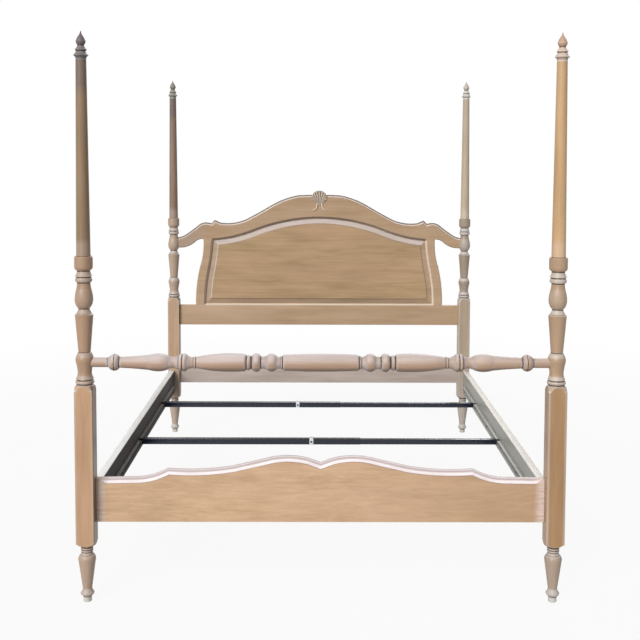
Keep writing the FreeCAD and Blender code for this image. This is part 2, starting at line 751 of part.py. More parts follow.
tail_end = (s.shell_tail_x, crest_z + s.shell_tail_rise - s.shell_tail_width)
shell_steps += [
    ("line", shell_root),
    ("arc", tail_bend, tail_tip),
    ("line", tail_end),
    ("arc", tail_under, (ZERO, crest_z + s.shell_root_rise)),
]
keep("headboard_shell_carving", board(
    "shell", *closed(shell_start, shell_steps), post_y - s.frame_thick / 2, s.shell_thick))

# Footboard: shaped board with a routed top edge, and the turned blanket rail


def foot_point(name, drop):
    """Footboard edge point, lowered by drop, from the middle (x) or inwards from the post (in)."""
    from_post = getattr(s, f"foot_{name}_in", None)
    along = post_x - from_post if from_post else getattr(s, f"foot_{name}_x")
    return (along, footboard_bottom + getattr(s, f"foot_{name}_rise") - drop)


def foot_edge(drop, end):
    """Top edge of the footboard from its middle dip out to X = end, lowered by drop."""
    return (ZERO, footboard_bottom + s.foot_dip_rise - drop), [
        ("line", foot_point("flank", drop)),
        ("arc", foot_point("crown", drop), foot_point("slope", drop)),
        ("line", foot_point("run", drop)),
        ("arc", foot_point("valley", drop), foot_point("notch", drop)),
        ("arc", foot_point("scoop", drop), foot_point("low", drop)),
        ("line", (end, footboard_bottom + s.foot_end_rise - drop)),
    ]


def routed_strip(drop):
    """What the router takes off above the lowered edge, with a scooped stop short of the post."""
    stop = block_face_x - s.edge_stop
    start, steps = foot_edge(drop, stop)
    low = steps[-1][-1][1]
    high = footboard_bottom + s.foot_crown_rise + s.cut_over
    bend = (
        stop + s.edge_scoop * math.sin(SCOOP_BEND),
        low + s.edge_scoop * (1 - math.cos(SCOOP_BEND)))
    scoop_end = (stop + s.edge_scoop, low + s.edge_scoop)
    return closed(start, steps + [
        ("arc", bend, scoop_end), ("line", (scoop_end[0], high)), ("line", (ZERO, high))])


footboard = doc.addObject("PartDesign::Body", "footboard")
foot_start, foot_steps = foot_edge(ZERO, block_face_x)
foot_steps += [("line", (block_face_x, footboard_bottom)), ("line", (ZERO, footboard_bottom))]
foot_pad = padded(footboard, "footboard_board", *closed(foot_start, foot_steps), s.footboard_thick)
foot_tenon = block_face_x + s.footboard_tenon_len
foot_tenon_low = footboard_bottom + s.footboard_tenon_step
foot_tenon_top = footboard_bottom + s.foot_end_rise - s.footboard_tenon_step
tenon_steps = [
    ("line", (foot_tenon, foot_tenon_low)),
    ("line", (foot_tenon, foot_tenon_top)),
    ("line", (block_face_x, foot_tenon_top)),
]
tenon_pad = padded(
    footboard, "footboard_tenon", *closed((block_face_x, foot_tenon_low), tenon_steps),
    s.footboard_tenon_thick, s.footboard_thick - s.footboard_tenon_thick)
face_strip = sketch_on(
    footboard, "edge_face", "XZ_Plane", *routed_strip(s.edge_height), s.footboard_thick)
deep_strip = sketch_on(
    footboard, "edge_deep", "XZ_Plane", *routed_strip(s.edge_lip), s.footboard_thick - s.edge_depth)
routing = footboard.newObject("PartDesign::SubtractiveLoft", "edge_routing")
routing.Profile = face_strip
routing.Sections = [deep_strip]
routing.Ruled = True
mirror_features(footboard, [foot_pad, tenon_pad, routing], "YZ_Plane")
keep("footboard_panel", place(footboard, y=footboard_back))

_, listed_ends = turning(BLANKET_TURNING, ZERO)
blanket_half = post_x - s.blanket_seat - s.joint_gap
spare_each = (blanket_half - listed_ends["blanket_end"]) / len(BLANKET_LONG_MEMBERS)
for member in BLANKET_LONG_MEMBERS:
    setattr(s, member + "_len", getattr(s, member + "_len") + spare_each)
blanket_steps, blanket_ends = turning(BLANKET_TURNING, ZERO)
blanket_steps = [("line", (s.blanket_middle_dia / 2, ZERO))] + blanket_steps
blanket_steps.append(("line", (ZERO, blanket_ends["blanket_end"])))
blanket = turned("blanket", *closed((ZERO, ZERO), blanket_steps))
mirror_features(blanket, [blanket.Tip], "XY_Plane")
blanket.Placement.Rotation = FreeCAD.Rotation(FreeCAD.Vector(0, 1, 0), 90)
keep("blanket_rail", place(blanket, y=-post_y, z=blanket_z))

# Hook plate at the foot end of the left rail, and the catch plate in the post that takes it

rail_mid_x = -(rail_face_x + s.rail_thick / 2)
rail_end_y = -block_face_y + s.rail_end_gap
plate_mid_z = rail_bottom + s.rail_height / 2
plate_low_z = plate_mid_z - s.plate_tall / 2
plate_left = rail_mid_x - s.plate_wide / 2
plate_right = rail_mid_x + s.plate_wide / 2
catch_face_y = -block_face_y
catch_back_y = catch_face_y - s.plate_thick
lip_face_y = catch_back_y - s.hook_play
lip_back_y = lip_face_y - s.hook_lip_thick
slot_tall = s.hook_neck + s.hook_lift + s.hook_play
first_hook = plate_mid_z - s.hook_spacing / 2 - s.hook_neck / 2
hook_lows = [first_hook, first_hook + s.hook_spacing]

hook_blocks = [box(
    "hook_plate_flat",
    (plate_left, rail_end_y, plate_low_z),
    (plate_right, rail_end_y + s.plate_thick, plate_low_z + s.plate_tall))]
slots = []
pockets = []
for index, low in enumerate(hook_lows):
    left = rail_mid_x - s.hook_thick / 2
    right = rail_mid_x + s.hook_thick / 2
    hook_blocks.append(box(
        f"hook_neck_{index}", (left, lip_back_y, low), (right, rail_end_y, low + s.hook_neck)))
    hook_blocks.append(box(
        f"hook_lip_{index}", (left, lip_back_y, low - s.hook_lip_drop), (right, lip_face_y, low)))
    slots.append(box(
        f"catch_slot_{index}",
        (left - s.hook_play, catch_back_y - s.cut_over, low),
        (right + s.hook_play, catch_face_y + s.cut_over, low + slot_tall)))
    pockets.append(box(
        f"hook_pocket_{index}",
        (left - s.hook_play, lip_back_y - s.hook_play, low - s.hook_lip_drop - s.hook_play),
        (right + s.hook_play, catch_back_y, low + slot_tall)))

screw_heights = [plate_low_z + s.plate_screw_edge, plate_low_z + s.plate_tall - s.plate_screw_edge]
hook_screws, hook_screw_holes = [], []
catch_screws, catch_screw_holes = [], []
gap_dia = s.bore_gap * 2


def plate_screw(name, face_y, height, inwards):
    """Screw with its head let into a plate, and the hole for it; inwards is +1 or -1 along Y."""
    pieces = []
    for label, extra in (("", ZERO), ("_hole", gap_dia)):
        spans = ((s.plate_head_dia, s.plate_head_thick), (s.plate_screw_dia, s.plate_screw_len))
        cylinders = []
        for part, (dia, length) in zip(("head", "shank"), spans):
            start_y = face_y if inwards > 0 else face_y - length
            cylinders.append(rod(
                f"{name}_{part}{label}", (rail_mid_x, start_y, height), "y", dia + extra, length))
        pieces.append(union(name + label, cylinders))
    return pieces


for index, height in enumerate(screw_heights):
    screw, hole = plate_screw(f"hook_screw_{index}", rail_end_y, height, 1)
    hook_screws.append(screw)
    hook_screw_holes.append(hole)
    screw, hole = plate_screw(f"catch_screw_{index}", catch_face_y, height, -1)
    catch_screws.append(screw)
    catch_screw_holes.append(hole)

hook_plate = cut("hook_plate", union("hook_plate_blank", hook_blocks), hook_screw_holes)
catch_flat = box(
    "catch_plate_flat",
    (plate_left, catch_back_y, plate_low_z),
    (plate_right, catch_face_y, plate_low_z + s.plate_tall))
catch_plate = cut("catch_plate", catch_flat, slots + catch_screw_holes)
catch_recess = box(
    "catch_recess",
    (plate_left - s.joint_gap, catch_back_y, plate_low_z - s.joint_gap),
    (plate_right + s.joint_gap, catch_face_y + s.cut_over, plate_low_z + s.plate_tall + s.joint_gap))
catch_room = union("catch_room", [catch_recess] + pockets + catch_screw_holes)
hook_recess = box(
    "hook_recess",
    (plate_left - s.joint_gap, rail_end_y - s.cut_over, plate_low_z - s.joint_gap),
    (plate_right + s.joint_gap, rail_end_y + s.plate_thick, plate_low_z + s.plate_tall + s.joint_gap))
hook_room = union("hook_room", [hook_recess] + hook_screw_holes)

TO_HEAD = (0, 1, 0)


def foot_and_head(name, piece):
    """The piece at the foot end of the left side and its image at the head end."""
    return group(name, [piece, mirrored(name + "_head", piece, TO_HEAD)])


def all_four(name, piece):
    """The piece at each of the four corners."""
    left = foot_and_head(name + "_left", piece)
    return group(name, [left, mirrored(name + "_right", left)])


def left_and_right(name, left):
    """Keep the left piece and its image on the right under the same name."""
    keep(name + "_left", left)
    keep(name + "_right", mirrored(left.Name + "_image", left))


keep("catch_plates", all_four("catch_set", catch_plate))
keep("catch_plate_screws", all_four("catch_screw_set", group("catch_screw_pair", catch_screws)))
left_and_right("hook_plates", foot_and_head("hook_plate_set", hook_plate))
left_and_right("hook_plate_screws", foot_and_head("hook_screw_set", group("hook_screw_pair", hook_screws)))

# Posts: turned from square stock, then mortised

stem_bore = (s.stem_dia / 2 + s.bore_gap, s.glide_height)
stem_top = s.glide_height + s.stem_len
stud_bore = s.stud_dia / 2 + s.bore_gap
stud_seat = cup_top - s.stud_sunk
post_profile = [("line", (s.foot_start_dia / 2, s.glide_height))] + post_steps + [
    ("line", (stud_bore, cup_top)),
    ("line", (stud_bore, stud_seat)),
    ("line", (ZERO, stud_seat)),
    ("line", (ZERO, stem_top)),
    ("line", (stem_bore[0], stem_top)),
]


def post_blank(name, y):
    """Left post before mortising: the turning cut out of the square stock."""
    turning_body = place(turned(name + "_turned", *closed(stem_bore, post_profile)), x=-post_x, y=y)
    stock = box(
        name + "_stock",
        (-post_x - half_block, y - half_block, s.glide_height),
        (-post_x + half_block, y + half_block, cup_top))
    blank = doc.addObject("Part::Common", name + "_blank")
    blank.Base = stock
    blank.Tool = turning_body
    return blank


def mortise(name, end_x, y, thick, low, high):
    """Mortise in the left post for a tenon that ends at X = -end_x."""
    return box(
        name,
        (-end_x - s.joint_gap, y - thick / 2 - s.joint_gap, low - s.joint_gap),
        (-block_face_x + s.cut_over, y + thick / 2 + s.joint_gap, high + s.joint_gap))


rail_tenon = block_face_x + s.tenon_len
headrail_tenon = (headrail_bottom + s.tenon_step, headrail_top - s.tenon_step)
lower_tenon_top = lower_rail_bottom + s.lower_rail_height - s.tenon_step
blanket_bore = rod(
    "blanket_bore", (-post_x + s.blanket_seat, -post_y, blanket_z), "x",
    s.blanket_end_dia + gap_dia, half_block)
front_cuts = [
    catch_room,
    blanket_bore,
    mortise(
        "footboard_mortise", foot_tenon, footboard_front + s.footboard_tenon_thick / 2,
        s.footboard_tenon_thick, foot_tenon_low, foot_tenon_top),
]
rear_cuts = [
    mirrored("catch_room_head", catch_room, TO_HEAD),
    mortise("crest_mortise", crest_tenon, post_y, s.frame_thick, crest_tenon_low, crest_tenon_top),
    mortise("headrail_mortise", rail_tenon, post_y, s.frame_thick, *headrail_tenon),
    mortise(
        "lower_rail_mortise", rail_tenon, post_y, s.frame_thick,
        lower_rail_bottom + s.tenon_step, lower_tenon_top),
]
left_and_right("post_front", cut("front_post", post_blank("front_post", -post_y), front_cuts))
left_and_right("post_rear", cut("rear_post", post_blank("rear_post", post_y), rear_cuts))

# Glides, studs, poles and finials, one of each on every post

glide_steps = [
    ("line", (s.glide_dia / 2 - s.glide_edge, ZERO)),
    ("line", (s.glide_dia / 2, s.glide_edge)),
    ("line", (s.glide_dia / 2, s.glide_height)),
    ("line", (s.stem_dia / 2, s.glide_height)),
    ("line", (s.stem_dia / 2, stem_top)),
    ("line", (ZERO, stem_top)),
]
glide = place(turned("glide", *closed((ZERO, ZERO), glide_steps)), x=-post_x, y=-post_y)
keep("foot_glides", all_four("glide_set", glide))
stud = rod("stud", (-post_x, -post_y, stud_seat), "z", s.stud_dia, s.stud_sunk + s.stud_proud)
keep("pole_studs", all_four("stud_set", stud))

pin_bore = s.pin_dia / 2 + s.bore_gap
pole_socket = s.stud_proud + s.stud_headroom
pin_floor = s.pole_len - s.pin_proud - s.pin_headroom
pole_steps = [
    ("line", (s.pole_base_dia / 2, ZERO)),
    ("line", (s.pole_top_dia / 2, s.pole_len)),
    ("line", (pin_bore, s.pole_len)),
    ("line", (pin_bore, pin_floor)),
    ("line", (ZERO, pin_floor)),
    ("line", (ZERO, pole_socket)),
    ("line", (stud_bore, pole_socket)),
]
finial_steps, finial_ends = turning(FINIAL_TURNING, s.finial_base_len)
finial_steps = [
    ("line", (s.finial_base_dia / 2, ZERO)),
    ("line", (s.finial_base_end_dia / 2, s.finial_base_len)),
] + finial_steps + [
    ("line", (ZERO, finial_ends["finial_tip"])),
    ("line", (ZERO, s.pin_sunk)),
    ("line", (pin_bore, s.pin_sunk)),
]
pole_top = cup_top + s.pole_len
for end, y in (("front", -post_y), ("rear", post_y)):
    for side, x in (("left", -post_x), ("right", post_x)):
        corner = f"{end}_{side}"
        pole = turned(f"{corner}_pole", *closed((stud_bore, ZERO), pole_steps))
        keep(f"pole_{corner}", place(pole, x, y, cup_top))
        finial = turned(f"{corner}_finial", *closed((pin_bore, ZERO), finial_steps))
        keep(f"finial_{corner}", place(finial, x, y, pole_top))
        pin = rod(
            f"{corner}_pin", (x, y, pole_top - s.pin_proud), "z", s.pin_dia, s.pin_proud + s.pin_sunk)
        keep(f"finial_pin_{corner}", pin)

# Side rails with their ledgers and screws

rail_blank = box(
    "rail_blank",
    (-(rail_face_x + s.rail_thick), rail_end_y, rail_bottom),
    (-rail_face_x, -rail_end_y, rail_top))
ledger_inner = -(rail_face_x - s.ledger_wide)
ledger_start = rail_end_y + s.ledger_end
ledger_blank = box(
    "ledger_blank",
    (-rail_face_x, ledger_start, ledger_top - s.ledger_tall),
    (ledger_inner, -ledger_start, ledger_top))
screw_start = ledger_start + s.ledger_screw_edge
screw_step = (-screw_start - screw_start) / (LEDGER_SCREWS - 1)
screw_z = ledger_top - s.ledger_tall / 2
shank_len = s.ledger_wide + s.ledger_screw_bite
ledger_screws = []
ledger_holes = []
for index in range(LEDGER_SCREWS):
    y = screw_start + screw_step * index
    shank_start = (ledger_inner - shank_len, y, screw_z)
    shank = rod(f"ledger_shank_{index}", shank_start, "x", s.ledger_screw_dia, shank_len)
    head = rod(
        f"ledger_head_{index}", (ledger_inner, y, screw_z), "x",
        s.ledger_head_dia, s.ledger_head_thick)
    ledger_screws.append(union(f"ledger_screw_{index}", [shank, head]))
    ledger_holes.append(rod(
        f"ledger_hole_{index}", shank_start, "x", s.ledger_screw_dia + gap_dia, shank_len))
rail_cuts = [hook_room, mirrored("hook_room_head", hook_room, TO_HEAD)] + ledger_holes
left_and_right("side_rail", cut("rail", rail_blank, rail_cuts))
left_and_right("rail_ledger", cut("ledger", ledger_blank, ledger_holes))
left_and_right("ledger_screws", group("ledger_screw_set", ledger_screws))

# Cross bars: a left angle over a right angle, each with a riveted tab on the ledger


def angle_bar(name, start, length, flange):
    """Steel angle along X with its upright flange towards the foot; start is its low front corner."""
    body = doc.addObject("PartDesign::Body", name)
    steps = [
        ("line", (s.bar_wall, ZERO)),
        ("line", (s.bar_wall, flange - s.bar_wall)),
        ("line", (flange, flange - s.bar_wall)),
        ("line", (flange, flange)),
        ("line", (ZERO, flange)),
    ]
    profile = sketch_on(body, name + "_profile", "YZ_Plane", *closed((ZERO, ZERO), steps))
    pad = body.newObject("PartDesign::Pad", name + "_pad")
    pad.Profile = profile
    pad.setExpression("Length", length.text)
    return place(body, *start)


def rivets(name, places, top, bottom):
    """Rivets through a flange and its tab, and the holes for them."""
    made = []
    holes = []
    for index, (x, y) in enumerate(places):
        shank = rod(f"{name}_shank_{index}", (x, y, bottom), "z", s.rivet_dia, top - bottom)
        head = rod(f"{name}_head_{index}", (x, y, top), "z", s.rivet_head_dia, s.rivet_head_thick)
        made.append(union(f"{name}_{index}", [shank, head]))
        holes.append(rod(
            f"{name}_hole_{index}", (x, y, bottom - s.cut_over), "z",
            s.rivet_dia + gap_dia, top - bottom + s.cut_over * 2))
    return made, holes


bar_end = rail_face_x - s.ledger_wide - s.bar_end_gap
tab_end = rail_face_x - s.tab_rail_gap
nest = s.bar_wall + s.bar_gap
spacer = s.tab_wall + nest
outer_top = ledger_top + spacer + s.bar_wall
inner_top = outer_top - nest
inner_flange = s.bar_flange - nest
left_tabs, left_rivets, clips, clip_screws = [], [], [], []
for end, from_foot, clip_offset in (
        ("front", s.bar_front_from_foot, s.bar_clip_front_x),
        ("rear", s.bar_rear_from_foot, s.bar_clip_rear_x)):
    front_y = from_foot - post_y - s.bar_flange / 2
    tab_front = front_y + nest
    tab_back = front_y + s.bar_flange
    rivet_y = tab_front + (tab_back - tab_front) / 2
    clip_x = -clip_offset

    rivet_xs = [-tab_end + s.rivet_edge, -tab_end + s.rivet_edge + s.rivet_spacing]
    made, holes = rivets(
        f"left_rivet_{end}", [(x, rivet_y) for x in rivet_xs], outer_top, ledger_top)
    left_rivets += made
    tab = box(
        f"left_tab_blank_{end}",
        (-tab_end, tab_front, ledger_top),
        (-tab_end + s.tab_len, tab_back, ledger_top + spacer))
    left_tabs.append(cut(f"left_tab_{end}", tab, holes))

    clip_screw_z = outer_top - s.bar_flange / 2
    clip_face = front_y - s.clip_wall
    screw_shank = rod(
        f"clip_shank_{end}", (clip_x, clip_face, clip_screw_z), "y",
        s.clip_screw_dia, s.clip_wall + s.bar_wall)
    screw_head = rod(
        f"clip_head_{end}", (clip_x, clip_face - s.clip_head_thick, clip_screw_z), "y",
        s.clip_head_dia, s.clip_head_thick)
    screw_hole = rod(
        f"clip_hole_{end}", (clip_x, clip_face - s.cut_over, clip_screw_z), "y",
        s.clip_screw_dia + gap_dia, s.clip_wall + s.bar_wall + s.cut_over * 2)
    clip_screws.append(union(f"clip_screw_{end}", [screw_shank, screw_head]))
    clip_left = clip_x - s.clip_long / 2
    clip_right = clip_x + s.clip_long / 2
    clip_top = box(
        f"clip_top_{end}",
        (clip_left, clip_face, outer_top),
        (clip_right, tab_back, outer_top + s.clip_wall))
    clip_front = box(
        f"clip_front_{end}",
        (clip_left, clip_face, outer_top - s.bar_flange),
        (clip_right, front_y, outer_top + s.clip_wall))
    clips.append(cut(f"clip_{end}", union(f"clip_blank_{end}", [clip_top, clip_front]), [screw_hole]))

    outer_len = bar_end + clip_x + s.bar_lap_right
    outer = angle_bar(
        f"outer_blank_{end}", (-bar_end, front_y, outer_top - s.bar_flange), outer_len, s.bar_flange)
    keep(f"cross_bar_outer_{end}", cut(f"outer_{end}", outer, holes + [screw_hole]))

    rivet_xs = [tab_end - s.rivet_edge, tab_end - s.rivet_edge - s.rivet_spacing]
    inner_rivet_y = tab_front + nest + (tab_back - tab_front - nest) / 2
    made, holes = rivets(
        f"right_rivet_{end}", [(x, inner_rivet_y) for x in rivet_xs], inner_top, ledger_top)
    keep(f"cross_bar_rivets_right_{end}", group(f"right_rivets_{end}", made))
    tab = box(
        f"right_tab_blank_{end}",
        (tab_end - s.tab_len, tab_front + nest, ledger_top),
        (tab_end, tab_back, ledger_top + s.tab_wall))
    keep(f"cross_bar_tab_right_{end}", cut(f"right_tab_{end}", tab, holes))
    inner_start = clip_x - s.bar_lap_left
    inner = angle_bar(
        f"inner_blank_{end}", (inner_start, tab_front, inner_top - inner_flange),
        bar_end - inner_start, inner_flange)
    keep(f"cross_bar_inner_{end}", cut(f"inner_{end}", inner, holes))

keep("cross_bar_tabs_left", group("left_tab_set", left_tabs))
keep("cross_bar_rivets_left", group("left_rivet_set", left_rivets))
keep("cross_bar_clips", group("clip_set", clips))
keep("cross_bar_clip_screws", group("clip_screw_set", clip_screws))

# Check the whole document before anything is written

doc.recompute()
faults = [thing.Label for thing in doc.Objects if {"Invalid", "Error"} & set(thing.State)]
for name, thing in parts.items():
    if thing.Shape.isNull() or not thing.Shape.isValid() or not thing.Shape.Solids:
        faults.append(name)
if faults:
    raise RuntimeError(f"these objects failed: {faults}")

os.makedirs("parts", exist_ok=True)
for name, thing in parts.items():
    thing.Shape.exportStep(f"parts/{name}.step")
print(len(parts), "sub-parts written")
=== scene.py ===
import bmesh
import bpy
import json
import math
import numpy as np
from mathutils import Matrix, Vector


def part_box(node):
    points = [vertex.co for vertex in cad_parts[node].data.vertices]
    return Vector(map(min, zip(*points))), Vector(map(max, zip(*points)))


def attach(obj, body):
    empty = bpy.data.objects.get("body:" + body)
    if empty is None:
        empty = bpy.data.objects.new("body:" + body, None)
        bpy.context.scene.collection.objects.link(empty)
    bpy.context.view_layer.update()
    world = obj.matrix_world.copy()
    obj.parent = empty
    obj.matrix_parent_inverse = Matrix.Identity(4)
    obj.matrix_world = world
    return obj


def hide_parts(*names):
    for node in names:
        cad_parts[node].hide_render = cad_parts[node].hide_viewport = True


# Poster bed in pickled wood. Metres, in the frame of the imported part: +Z up, +Y towards the head.
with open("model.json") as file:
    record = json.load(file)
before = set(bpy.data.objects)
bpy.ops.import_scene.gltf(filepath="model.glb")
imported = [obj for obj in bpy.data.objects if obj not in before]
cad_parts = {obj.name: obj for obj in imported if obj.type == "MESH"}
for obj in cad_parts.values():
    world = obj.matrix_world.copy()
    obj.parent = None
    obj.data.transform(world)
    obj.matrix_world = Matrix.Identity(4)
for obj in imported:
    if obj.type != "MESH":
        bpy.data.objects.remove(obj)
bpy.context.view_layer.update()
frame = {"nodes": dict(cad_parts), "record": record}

MM = 0.001
CORNERS = ("front_left", "front_right", "rear_left", "rear_right")
SIDES = ("left", "right")
BAR_PLACES = ("front", "rear")
ACROSS, ALONG, UP = 0, 1, 2

# Turned pieces
TURN_COLUMNS = 96
FACE_COLUMNS = 24
GLIDE_COLUMNS = 64
PIN_COLUMNS = 32
ROW_STEP = 4 * MM
POMMEL_STEP = 0.8 * MM
POLE_STEP = 20 * MM
FINIAL_STEP = 1.2 * MM
BLOCK_EASE = 3.5 * MM
# The columns of a post gather at the block's edges over this height
BLOCK_FADE = 12 * MM
EVEN_SPLIT = math.pi / 8
# The outline of a post is read on its outer side, this far off its middle
POST_MIDDLE = 0.5 * MM
# The block's corner is whole where the turning reaches this share of its half width
WHOLE_CORNER = 1.413
HOLLOW_REACH = 9 * MM
HOLLOW_SLOPE = 0.9 * MM
HOLLOW_DEPTH = 3.2 * MM
# Creases take glaze over a width that also paints the shade that falls in them
CREASE_STEP = 0.7 * MM
CREASE_REACH = 3.6 * MM
CREASE_START = 0.45 * MM
CREASE_DEPTH = 1.1 * MM
CREASE_ROWS = 7
BORE_PLAY = 0.3 * MM
BORE_SPACE = 2 * MM
# Points this close to the axis belong to bores, apart from a finial's tip
POST_BORE = 8 * MM
FINIAL_BORE = 4 * MM
FINIAL_TIP = 12 * MM
ARRIS = 1.0 * MM
# Pale bands of the post, from one height to another, with the amount of wash
POST_BANDS = (
    (20 * MM, 48 * MM, 0.80),
    (48 * MM, 160 * MM, 0.36),
    (160 * MM, 196 * MM, 0.68),
    (752 * MM, 792 * MM, 0.58),
    (856 * MM, 873 * MM, 0.56),
    (1001 * MM, 1022 * MM, 0.60),
    (1022 * MM, 1090 * MM, 0.26),
    (1108 * MM, 1150 * MM, 0.58),
)
BAND_FADE = 3 * MM
# Woods of the four corners, and the painted shade and the wash over the turned parts of their posts; their
# differences from corner to corner are painted light and shade
POST_WOODS = {"front_left": (191, 151, 117), "front_right": (164, 126, 85),
              "rear_left": (184, 152, 122), "rear_right": (166, 147, 126)}
POLE_WOODS = {"front_left": (142, 117, 90), "front_right": (200, 163, 120),
              "rear_left": (138, 115, 98), "rear_right": (187, 171, 148)}
FINIAL_WOODS = {"front_left": (112, 102, 102), "front_right": (186, 150, 124),
                "rear_left": (140, 134, 126), "rear_right": (190, 182, 172)}
FINIAL_WASHES = {"front_left": (142, 134, 134), "front_right": (232, 220, 210),
                 "rear_left": (176, 172, 164), "rear_right": (226, 222, 216)}
TURNED_SHADE = {"front_left": 0.24, "front_right": 0.0, "rear_left": 0.18, "rear_right": 0.22}
TURNED_WASH = {"front_left": 0.10, "front_right": 0.20, "rear_left": 0.28, "rear_right": 0.10}
BAND_SHARE = {"front_left": 1.0, "front_right": 1.3, "rear_left": 1.35, "rear_right": 2.1}
FOOT_SHADE = 0.2
INNER_FACE_SHADE = {"left": 0.72, "right": 0.0}
BLOCK_EDGE_WASH = {"left": 0.25, "right": 0.45}
POLE_TOP_SHADE = {"left": 0.45, "right": 0.05}
POLE_TOP_REACH = 110 * MM
POLE_FADE = 20 * MM
FINIAL_COLLAR = 46 * MM
FINIAL_COLLAR_WASH = 0.6
FINIAL_WASH = 0.85
FINIAL_GLAZE = 0.95
# The blocks of the rear posts are greyer below the rails
REAR_GREY_TOP = 400 * MM
REAR_GREY_FADE = 110 * MM
REAR_GREY_WASH = 0.42
REAR_GREY_GLAZE = 0.16
# Worn pale ring at the foot of each pole
POLE_FOOT_REACH = 62 * MM
POLE_FOOT_WASH = 0.22
# Pale mark near the top of the block's edges
CHIP_DROP = 28 * MM
CHIP_HALF = 3.5 * MM
CHIP_WASH = 0.95

# Glides under the feet; the groove's places are shares of the height
GLIDE_RIM = 2.6 * MM
GLIDE_RIM_ROWS = 7
GLIDE_GROOVE = 0.9 * MM
GLIDE_GROOVE_PLACES = (0.62, 0.66, 0.74, 0.78)
GLIDE_EDGE = 0.8 * MM

# Blanket rail: wash in hollows and on rings, the rings' partly painted highlight; glaze in lines, widened as
# painted shade; painted light on its upper half and painted shade underneath
BLANKET_REACH = 26 * MM
BLANKET_LEAN = 0.3
BLANKET_TOP_WASH = 0.7
BLANKET_TOP_START = -0.1
BLANKET_HOLLOW_WASH = 0.6
BLANKET_RING_WASH = 0.4
BLANKET_HOLLOW_GLAZE = 0.22
BLANKET_UNDER_GLAZE = 0.7
BLANKET_UNDER_START = 0.4

# Boards
BOARD_STEP = 9 * MM
EDGE_ROWS = 13
FRAME_EASE = 3.2 * MM
BACK_EASE = 1.6 * MM
BACK_ROWS = 4
JOINT_REACH = 1.5 * MM
JOINT_FADE = 4 * MM
POST_SEAT = 3 * MM
RAIL_EDGE_WASH = 0.4
# The moulding begins where an edge faces up this much, and is full a little further
MOULD_START = 0.1
MOULD_FADE = 0.3
# Mask on the back edge of the crest rail and of the footboard
CREST_BACK_WASH = 0.2
CREST_BACK_GLAZE = 0.6
FOOT_BACK_WASH = 0.8
FOOT_BACK_GLAZE = 0.4
# Edges that face down or right lie in shade: eased more, washed less and darkened with painted shade
SHADE_EASE = 0.6
SHADE_WASH = 0.7
SHARP_ANGLE = math.radians(38)
MITRE_LIMIT = 2.2
CORNER_TURN = math.radians(14)
ARM_END = 775.5 * MM
ARM_SEAT = 790 * MM
SAME_POINT = 0.001 * MM
SAME_DEPTH = 0.02 * MM
TINY = 1e-6
# Faces with more sides than this are flat ends, with sharp edges
CAP_SIDES = 8
# The left arm of the crest rail is greyer than the rest
ARM_GREY_START = -615 * MM
ARM_GREY_FADE = 80 * MM
ARM_GREY_WASH = 0.2
ARM_GREY_GLAZE = 0.32

# Moulded edge of the crest rail: a lip at the back, then a cove
CREST_LIP_DEPTH = 9 * MM
CREST_LIP_DROP = 5 * MM
CREST_COVE = 7 * MM
# The footboard has the same edge, cut larger, and it stops short of the posts
FOOT_LIP_DEPTH = 9 * MM
FOOT_LIP_DROP = 5.5 * MM
FOOT_COVE = 12.5 * MM
FOOT_STOP = 12 * MM
FOOT_SCOOP = 30 * MM
FOOT_EASE = 1.2 * MM
FOOT_EDGE_WASH = 0.4
FOOT_UP = 0.2
FOOT_UPPER = 50 * MM
# Rows round the lip's arris, in shares of it, and from the cove's floor to the face, in shares of its drop
LIP_ARRIS = 0.5 * MM
LIP_TURN = ((0, 2), (0.3, 0.3), (1.4, 0))
COVE_FLOOR = 0.9 * MM
COVE_RUN = ((0.3 * MM, 0.4), (0.9 * MM, 0), (3 * MM, 0))

# Raised panel and the bead round it, from outside to inside
PANEL_FIELD_BACK = 1.0 * MM
PANEL_BASE_BACK = 11 * MM
PANEL_BORDER = 15 * MM
PANEL_BEVEL_END = 41 * MM
PANEL_BEVEL_ROWS = 8
PANEL_BEVEL_HOLLOW = 0.2
PANEL_STEP_WIDTH = 5.5 * MM
PANEL_STEP_DEPTH = 3 * MM
PANEL_STEP_MIDDLE = (0.4, 0.55)
PANEL_STEP_EASE = 0.8 * MM
PANEL_STEP_TURN = 0.25 * MM
PANEL_RUN = 2 * MM
BEAD_WIDTH = 9 * MM
BEAD_ROWS = 8
BEAD_TURN = 0.15
BEAD_GROW = 0.3 * MM
BEAD_SEAT = 1 * MM
BEAD_LIP = 0.6 * MM
BEAD_TOP = 0.7 * MM
BEAD_SIDE = 1.2 * MM
BEAD_TOE = 0.4 * MM
BEAD_TOE_HEIGHT = 1.6 * MM
BEAD_TAIL = 2 * MM
BEAD_END = 2.5 * MM


# Shader helpers

def node(tree, kind, inputs=None, **settings):
    """A shader node with its settings, and inputs that are values or other nodes' outputs."""
    made = tree.nodes.new(kind)
    for name, value in settings.items():
        setattr(made, name, value)
    for name, value in (inputs or {}).items():
        if isinstance(value, bpy.types.NodeSocket):
            tree.links.new(value, made.inputs[name])
        else:
            made.inputs[name].default_value = value
    return made


def mix(tree, factor, first, second):
    """Colour between two colours."""
    blended = node(tree, "ShaderNodeMix", {0: factor, 6: first, 7: second}, data_type="RGBA")
    return blended.outputs[2]


def spread(tree, value, low, high, to_low=0.0, to_high=1.0):
    """A value stretched from one range to another and held inside it."""
    ranged = node(tree, "ShaderNodeMapRange", {0: value, 1: low, 2: high, 3: to_low, 4: to_high})
    return ranged.outputs[0]


def between(tree, share, low, high):
    """A share from 0 to 1 as a value between two others."""
    return spread(tree, share, 0.0, 1.0, low, high)


def math_node(tree, operation, first, second):
    """Sum, product or other result of two values."""
    return node(tree, "ShaderNodeMath", {0: first, 1: second}, operation=operation).outputs[0]


def seen_directly(tree):
    """1 for rays from the camera, a reflection or glass, 0 for those that carry light."""
    rays = node(tree, "ShaderNodeLightPath").outputs
    seen = math_node(tree, "MAXIMUM", rays["Is Camera Ray"], rays["Is Glossy Ray"])
    return math_node(tree, "MAXIMUM", seen, rays["Is Transmission Ray"])


